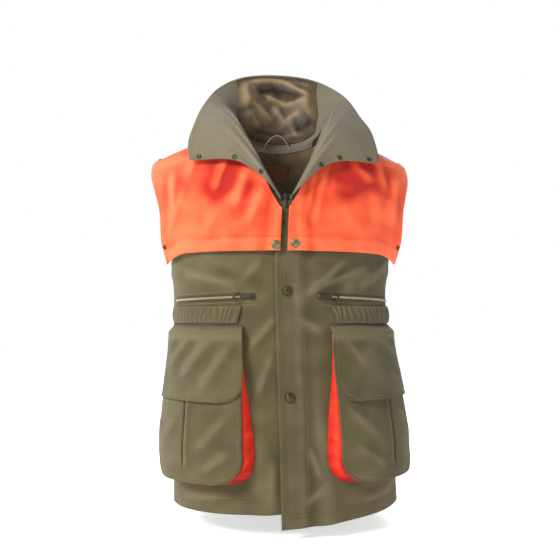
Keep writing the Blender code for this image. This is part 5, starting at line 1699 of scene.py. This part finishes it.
# Snaps along the collar's ends: side, distance from the end and share up, both as shares of the collar
COLLAR_SNAPS = (
    (-1, 0.045, 0.90), (-1, 0.045, 0.56), (-1, 0.070, 0.27),
    (1, 0.045, 0.90), (1, 0.050, 0.60), (1, 0.060, 0.39),
)
for number, (side, inset, up) in enumerate(COLLAR_SNAPS, 1):
    place = collar_spot(side * (1 - inset), up, COLLAR_WALL)
    snap("collar_snap_%d" % number, "small", place, black_enamel)

# %% [markdown]
# A slider is two rounded plates with a bridge, and its pull hangs from that bridge. The pulls of the
# pockets end in a ring and the pull of the main zip in a tab. Each one rides on its own body, so it lifts
# about its hinge.

# %% Sliders and pulls


def rounded_block(size, power=0.35, rings=12, segments=24):
    """A block with round edges: a ball whose coordinates are raised to a small power, scaled to size."""
    points, faces = ball(rings, segments)
    points = np.sign(points) * np.abs(points) ** power
    return points * np.array(size) / 2, faces


def swept(path, radius, sides=10, closed=False):
    """A round bar along a path: circles of that radius square to the path's direction."""
    path = np.asarray(path, float)
    along = np.roll(path, -1, 0) - np.roll(path, 1, 0) if closed else np.gradient(path, axis=0)
    along /= np.linalg.norm(along, axis=-1, keepdims=True)
    side_way = np.cross(along, np.broadcast_to((0.013, 0.021, 1.0), along.shape))
    small = np.linalg.norm(side_way, axis=-1, keepdims=True) < 0.2
    side_way = np.where(small, np.cross(along, np.broadcast_to((0.0, 1.0, 0.03), along.shape)), side_way)
    side_way /= np.linalg.norm(side_way, axis=-1, keepdims=True)
    up_way = np.cross(along, side_way)
    angle = np.linspace(0, 2 * math.pi, sides, endpoint=False)[None, :, None]
    radius = np.broadcast_to(np.asarray(radius, float), (len(path),))[:, None, None]
    rings = path[:, None] + radius * (np.cos(angle) * side_way[:, None] + np.sin(angle) * up_way[:, None])
    count = len(path)
    rows = np.arange(count if closed else count - 1)
    step = np.arange(sides)
    a = rows[:, None] * sides + step
    b = rows[:, None] * sides + (step + 1) % sides
    c, d = (b + sides) % (count * sides), (a + sides) % (count * sides)
    faces = np.concatenate([np.stack([a, b, c], -1).reshape(-1, 3), np.stack([a, c, d], -1).reshape(-1, 3)])
    points = rings.reshape(-1, 3)
    if not closed:
        points = np.concatenate([points, path[:1], path[-1:]])
        first, last = count * sides, count * sides + 1
        end = (count - 1) * sides
        faces = np.concatenate([
            faces,
            np.stack([step * 0 + first, (step + 1) % sides, step], -1),
            np.stack([step * 0 + last, end + step, end + (step + 1) % sides], -1),
        ])
    return points, faces


def joined(shapes):
    """One shape of several: their points and faces one after the other."""
    points = np.concatenate([shape[0] for shape in shapes])
    starts = np.cumsum([0] + [len(shape[0]) for shape in shapes[:-1]])
    return points, np.concatenate([shape[1] + start for shape, start in zip(shapes, starts)])


def moved(shape, by):
    """The shape shifted by a vector."""
    return shape[0] + np.asarray(by, float), shape[1]


def slider_shape(long, wide, high):
    """A slider: a lower and an upper plate, and a bridge arching over the upper one. X runs along the zip."""
    plate = rounded_block((long, wide, high * 0.30), 0.45)
    arch = np.linspace(0, math.pi, 15)
    bridge = np.stack([-np.cos(arch) * long * 0.34, 0 * arch, high * 0.30 + np.sin(arch) * high * 0.36], -1)
    return joined([
        moved(plate, (0, 0, -high * 0.30)), moved(plate, (0, 0, high * 0.20)), swept(bridge, 0.055),
        moved(rounded_block((long * 0.45, wide * 0.34, high * 0.5), 0.5), (0, 0, 0)),
    ])


HINGE_RADIUS = 0.06


def pull_shape(neck, ring, hole, half_neck):
    """A pull: a flat neck from its hinge and a ring of round wire, or a rounded tab if there is no hole."""
    across = np.linspace(-1, 1, 5)
    hinge = np.stack([HINGE_RADIUS + 0 * across, across * half_neck, 0 * across], -1)
    stem = moved(rounded_block((neck, half_neck * 1.7, 0.11), 0.5), (neck / 2 + 0.05, 0, 0))
    shapes = [swept(hinge, HINGE_RADIUS, 10), stem]
    if hole:
        angle = np.linspace(0, 2 * math.pi, 48, endpoint=False)
        middle, wire = (ring + hole) / 2, (ring - hole) / 2
        circle = np.stack([neck + ring + middle * np.cos(angle), middle * np.sin(angle), 0 * angle], -1)
        shapes.append(swept(circle, wire * 0.92, 12, closed=True))
    else:
        shapes.append(moved(rounded_block((ring * 2.2, ring * 2, 0.14), 0.6), (neck + ring * 0.8, 0, 0)))
    return joined(shapes)


def hardware(name, shape, point, normal, along, made_of, body=VEST):
    """A metal piece stood on a point with Z along the normal and X along a direction, riding on a body."""
    place, x_axis, z_axis = (np.asarray(value)[None] for value in (point, along, normal))
    piece = scattered(name + "_metal", shape, place, x_axis, z_axis, (1, 1, 1), made_of)
    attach(piece, body)
    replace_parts(piece, name)
    return piece


CHAIN_TOP = WALL + ZIP_OFF + 0.10 + 0.12
ON_CHAIN = CHAIN_TOP + 0.24
SLIDER_AT, PULL_AT = 6.46, 7.2
PULL_REACH = 2.4
for side, word in ((1, "left"), (-1, "right")):
    point, normal = low_spot(SLIDER_AT * side, zip_height(SLIDER_AT), ON_CHAIN)
    ahead, _ = low_spot((SLIDER_AT + 0.5) * side, zip_height(SLIDER_AT + 0.5), ON_CHAIN)
    slider = slider_shape(long=1.18, wide=0.70, high=0.40)
    hardware("pocket_slider_" + word, slider, point, normal, ahead - point, dark_brass)
    point, normal = low_spot(PULL_AT * side, zip_height(PULL_AT), ON_CHAIN)
    tip_at = PULL_AT + PULL_REACH
    tip, _ = low_spot(tip_at * side, zip_height(tip_at), ON_CHAIN + 0.06)
    along = tip - point
    normal = normal - along * (normal @ along) / (along @ along)
    pull = pull_shape(neck=0.8, ring=0.8, hole=0.52, half_neck=0.22)
    name = "pocket_pull_" + word
    hardware(name, pull, point, normal, along, dark_brass, name)


def centre_spot(z, lift):
    """A place on the centre line of the chest at height z."""

    def chest(a, b):
        """Front of the figure at width a and height b."""
        return by_width(a, b, False)

    return seat(lambda off: moved_out(chest, np.array(0.0), np.array(z), off, 1), lift)


V_LIFT = ZIP_LIFT + 0.22
point, normal = centre_spot(-15.4, V_LIFT + 0.20)
slider = slider_shape(long=1.1, wide=0.70, high=0.40)
hardware("main_slider", slider, point, normal, (0.0, 0.0, -1.0), black_enamel)
point, _ = centre_spot(-15.82, V_LIFT + 0.48)
pull = pull_shape(neck=1.2, ring=0.36, hole=0.0, half_neck=0.24)
forward, down = (0.0, -1.0, 0.12), (0.0, 0.05, -1.0)
hardware("main_pull", pull, point, forward, down, black_enamel, "main_pull")

# %% [markdown]
# The hanger loop is a narrow tape rolled round. It is sewn down at both ends under the neck tape and stands
# up between them in a flat arch. A piping of the same make edges the curved seams of the rear pouch.

# %% Hanger loop and piped seams
LOOP_HALF = 2.9
LOOP_FOOT = by_width(LOOP_HALF, -1.70, True) - np.array([0.0, 0.37, 0.0])
LOOP_TOP = np.array([0.0, 7.75, 1.2])
share = np.linspace(0, 1, 49)
arch = np.sin(math.pi * share) ** 0.8
loop_line = (1 - arch)[:, None] * LOOP_FOOT + arch[:, None] * LOOP_TOP
loop_line[:, 0] = (2 * share - 1) * LOOP_HALF


def tube(name, line, radius, made_of):
    """A soft round roll of cloth along a line of points."""
    points, faces = swept(line, radius, 12)
    mesh = bpy.data.meshes.new(name)
    mesh.from_pydata((points * CM).tolist(), [], faces.tolist())
    mesh.shade_smooth()
    mesh.materials.append(made_of)
    piece = bpy.data.objects.new(name, mesh)
    bpy.context.scene.collection.objects.link(piece)
    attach(piece, VEST)
    return piece


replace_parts(tube("hanger_loop_tape", loop_line, 0.125, loop_cloth), "hanger_loop")

hem_share = pouch_line(np.array(HEMS["back"])) / reach(np.array(HEM_SIDE), True)
z = np.linspace(float(hem_height("back", hem_share)) + 0.15, -27.6, 160)
lift = panel_lift("back")
for side, word in ((1, "left"), (-1, "right")):
    u = side * pouch_line(z)
    line = low_point(u, z, True, SINGLE + lift(u, z) + 0.06)
    tube("pouch_piping_" + word, line, 0.15, piping_cloth)

# %% [markdown]
# Every edge of the vest is topstitched. Each stitch is a small rounded bar lying in the groove that its row
# pulls into the cloth, three to a centimetre, in a thread a little paler than the canvas. A row is a line
# drawn on the same function as its cloth, so it follows each fold.

# %% Topstitching
STITCH_PITCH = 0.30
STITCH_SIZE = (0.115, 0.034, 0.026)
STITCH_RISE = 0.01
STITCH = ball(4, 6)


def thread(name, colour, pale):
    """Matt thread material with a paler wear colour."""
    made = solid_colour(name, colour, 0.80, 0.0, pale, 0.10)
    made.node_tree.nodes["Principled BSDF"].inputs["Sheen Weight"].default_value = 0.3
    return made


olive_thread = thread("olive_thread", (0.165, 0.140, 0.075), (0.22, 0.19, 0.11))
orange_thread = thread("orange_thread", (0.90, 0.13, 0.045), (1.0, 0.24, 0.11))


def sew(name, rows, made_of):
    """All stitches of one colour in a mesh; each row is a function of the lift that gives a line."""
    places, along, normals = [], [], []
    for row in rows:
        low, high = row(0.0), row(1.0)
        at, way, share = paced(low, STITCH_PITCH)
        places.append(at)
        along.append(way)
        normals.append(read_along(share, high - low))
    places, along, normals = (np.concatenate(lines) for lines in (places, along, normals))
    piece = scattered(name, STITCH, places, along, normals, STITCH_SIZE, made_of)
    return piece


def on_panel(piece, side, u, z, thickness=SINGLE):
    """A row on a panel's lower part, along lengths u and heights z."""
    lift = panel_lift(piece)(u * side, z)
    return lambda off: low_point(u * side, z, piece == "back", lift + thickness + STITCH_RISE + off)


def on_panel_high(piece, side, across, up, thickness=SINGLE):
    """A row on a panel's upper part, along shares across and up it."""
    _, z, low_u = high_place(piece, across, up)
    lift = panel_lift(piece)(low_u * side, z)
    return lambda off: high_point(piece, side, across, up, lift + thickness + STITCH_RISE + off)


def on_cloth(surface, side, a, b, thickness):
    """A row on any surface function of side, two places and a distance out."""
    return lambda off: surface(side, a + 0 * b, b + 0 * a, thickness + STITCH_RISE + off)


def corner_row(inner, low, radius):
    """Lengths and heights of a quarter circle of stitches round a lower inner corner."""
    turn, inside = np.linspace(0, math.pi / 2, 30), radius - EDGE_ROW
    return inner + EDGE_ROW + inside * (1 - np.sin(turn)), low + EDGE_ROW + inside * (1 - np.cos(turn))


panel_rows = []
for piece, side in (("front_left", 1), ("front_right", -1), ("back", 1), ("back", -1)):
    start = TOPS[piece][0][1]
    a = np.linspace(0.01, 0.995, 260)
    z = hem_height(piece, a) + HEM_TURN
    panel_rows.append(on_panel(piece, side, start + a * (reach(z, piece == "back") - start), z, DOUBLE))
    up = np.linspace(0.03, 0.985, 140)
    panel_rows.append(on_panel_high(piece, side, np.full(140, 1 - ARM_TURN / ARM_REACH), up, DOUBLE))
for side in (1, -1):
    z = np.linspace(POUCH_LOW - 8.0, -28.5, 220)
    panel_rows.append(on_panel("back", side, pouch_line(z) + 0.42, z))
    u = np.linspace(0.1, pouch_line(POUCH_LOW), 120)
    panel_rows.append(on_panel("back", side, u, POUCH_LOW + 0 * u))
    z = np.linspace(WELT_Z[0] + 0.3, WELT_Z[1] - 0.3, 90)
    panel_rows.append(on_cloth(welt_point, side, 0.12, z, WELT_WALL))
    z = np.linspace(HEM_SIDE + 0.4, UNDERARM - 0.4, 220)
    for v in (-0.36, 0.36):
        panel_rows.append(on_cloth(side_point, side, v, z, SEAM_WALL))
placket_u = TOPS["front_left"][0][1]
for inset, thickness in ((PLACKET_TURN, DOUBLE), (PLACKET_WIDE, SINGLE)):
    z = np.linspace(HEMS["front_left"] + 0.3, UNDERARM, 260)
    panel_rows.append(on_panel("front_left", 1, placket_u + inset + 0 * z, z, thickness))
ZIP_ENDS = (ZIP_IN - 0.4, ZIP_OUT + 0.5)
ZIP_ROW = 0.95
for side, piece in ((1, "front_left"), (-1, "front_right")):
    u = np.linspace(*ZIP_ENDS, 120)
    for v in (ZIP_ROW, -ZIP_ROW, -1.5):
        panel_rows.append(on_panel(piece, side, u, zip_height(u) + v))
    v = np.linspace(-ZIP_ROW, ZIP_ROW, 20)
    for end in ZIP_ENDS:
        panel_rows.append(on_panel(piece, side, end + 0 * v, zip_height(end) + v))
    a = np.linspace(0.01, 0.99, 160)
    for t in (0.10, 0.90):
        panel_rows.append(on_cloth(band_point, side, a, t, BAND_WALL))
    z = np.linspace(POCKET_LOW + POCKET_CORNER, POCKET_HIGH - 1.0, 120)
    panel_rows.append(on_cloth(face_point, side, POCKET_IN + EDGE_ROW, z, WALL))
    u, z = corner_row(POCKET_IN, POCKET_LOW, POCKET_CORNER)
    panel_rows.append(on_cloth(face_point, side, u, z, WALL))
    u = np.linspace(POCKET_IN + POCKET_CORNER, POCKET_OUT - OUTER_CORNER, 80)
    panel_rows.append(on_cloth(face_point, side, u, POCKET_LOW + EDGE_ROW, WALL))
    flap_in = POCKET_IN - FLAP_OVER
    z = np.linspace(FLAP_LOW + FLAP_CORNER, FLAP_HIGH - FLAP_ROW, 80)
    panel_rows.append(on_cloth(flap_point, side, flap_in + EDGE_ROW, z, WALL))
    u, z = corner_row(flap_in, FLAP_LOW, FLAP_CORNER)
    panel_rows.append(on_cloth(flap_point, side, u, z, WALL))
    u = np.linspace(flap_in + FLAP_CORNER, POCKET_OUT - 0.9, 90)
    panel_rows.append(on_cloth(flap_point, side, u, FLAP_LOW + EDGE_ROW, WALL))
    u = np.linspace(POCKET_IN + 0.1, POCKET_OUT - 0.9, 100)
    panel_rows.append(on_cloth(flap_point, side, u, FLAP_HIGH - FLAP_ROW, WALL))
sew("canvas_stitches", panel_rows, olive_thread)


def yoke_rows(which, start):
    """Rows of a yoke piece: along its hem, up its armhole edge and, in front, up its front edge."""
    lower = YOKES[which][-1]
    piece = "back" if which.startswith("back") else which
    across = np.linspace(start + 0.01, 0.985, 220)
    hem_up = height_share(piece, across, lower(across) + YOKE_HEM)
    bottom, top = yoke_ends(which, across)
    rows = [on_cloth(yoke_point, which, across, (hem_up - bottom) / (top - bottom), WALL)]
    t = np.linspace(0.02, 0.97, 160)
    rows.append(on_cloth(yoke_point, which, 0.965, t, WALL))
    if piece != "back":
        rows.append(on_cloth(yoke_point, which, start + 0.022, t, WALL))
    return rows


orange_rows = []
for which, start in YOKE_STARTS.items():
    orange_rows += yoke_rows(which, start)
sew("yoke_stitches", orange_rows, orange_thread)


def on_collar(along, up):
    """A row on the collar's upper side, along shares round and up it."""
    return lambda off: collar_point(along + 0 * up, up + 0 * along, COLLAR_WALL + STITCH_RISE + off)


row_along, row_up = 1 - EDGE_ROW / COLLAR_LONG, 1 - EDGE_ROW / COLLAR_TALL
collar_rows = [on_collar(np.linspace(-row_along, row_along, 420), row_up)]
for side in (-1, 1):
    collar_rows.append(on_collar(side * row_along, np.linspace(0.05, row_up, 90)))
sew("collar_stitches", collar_rows, olive_thread)
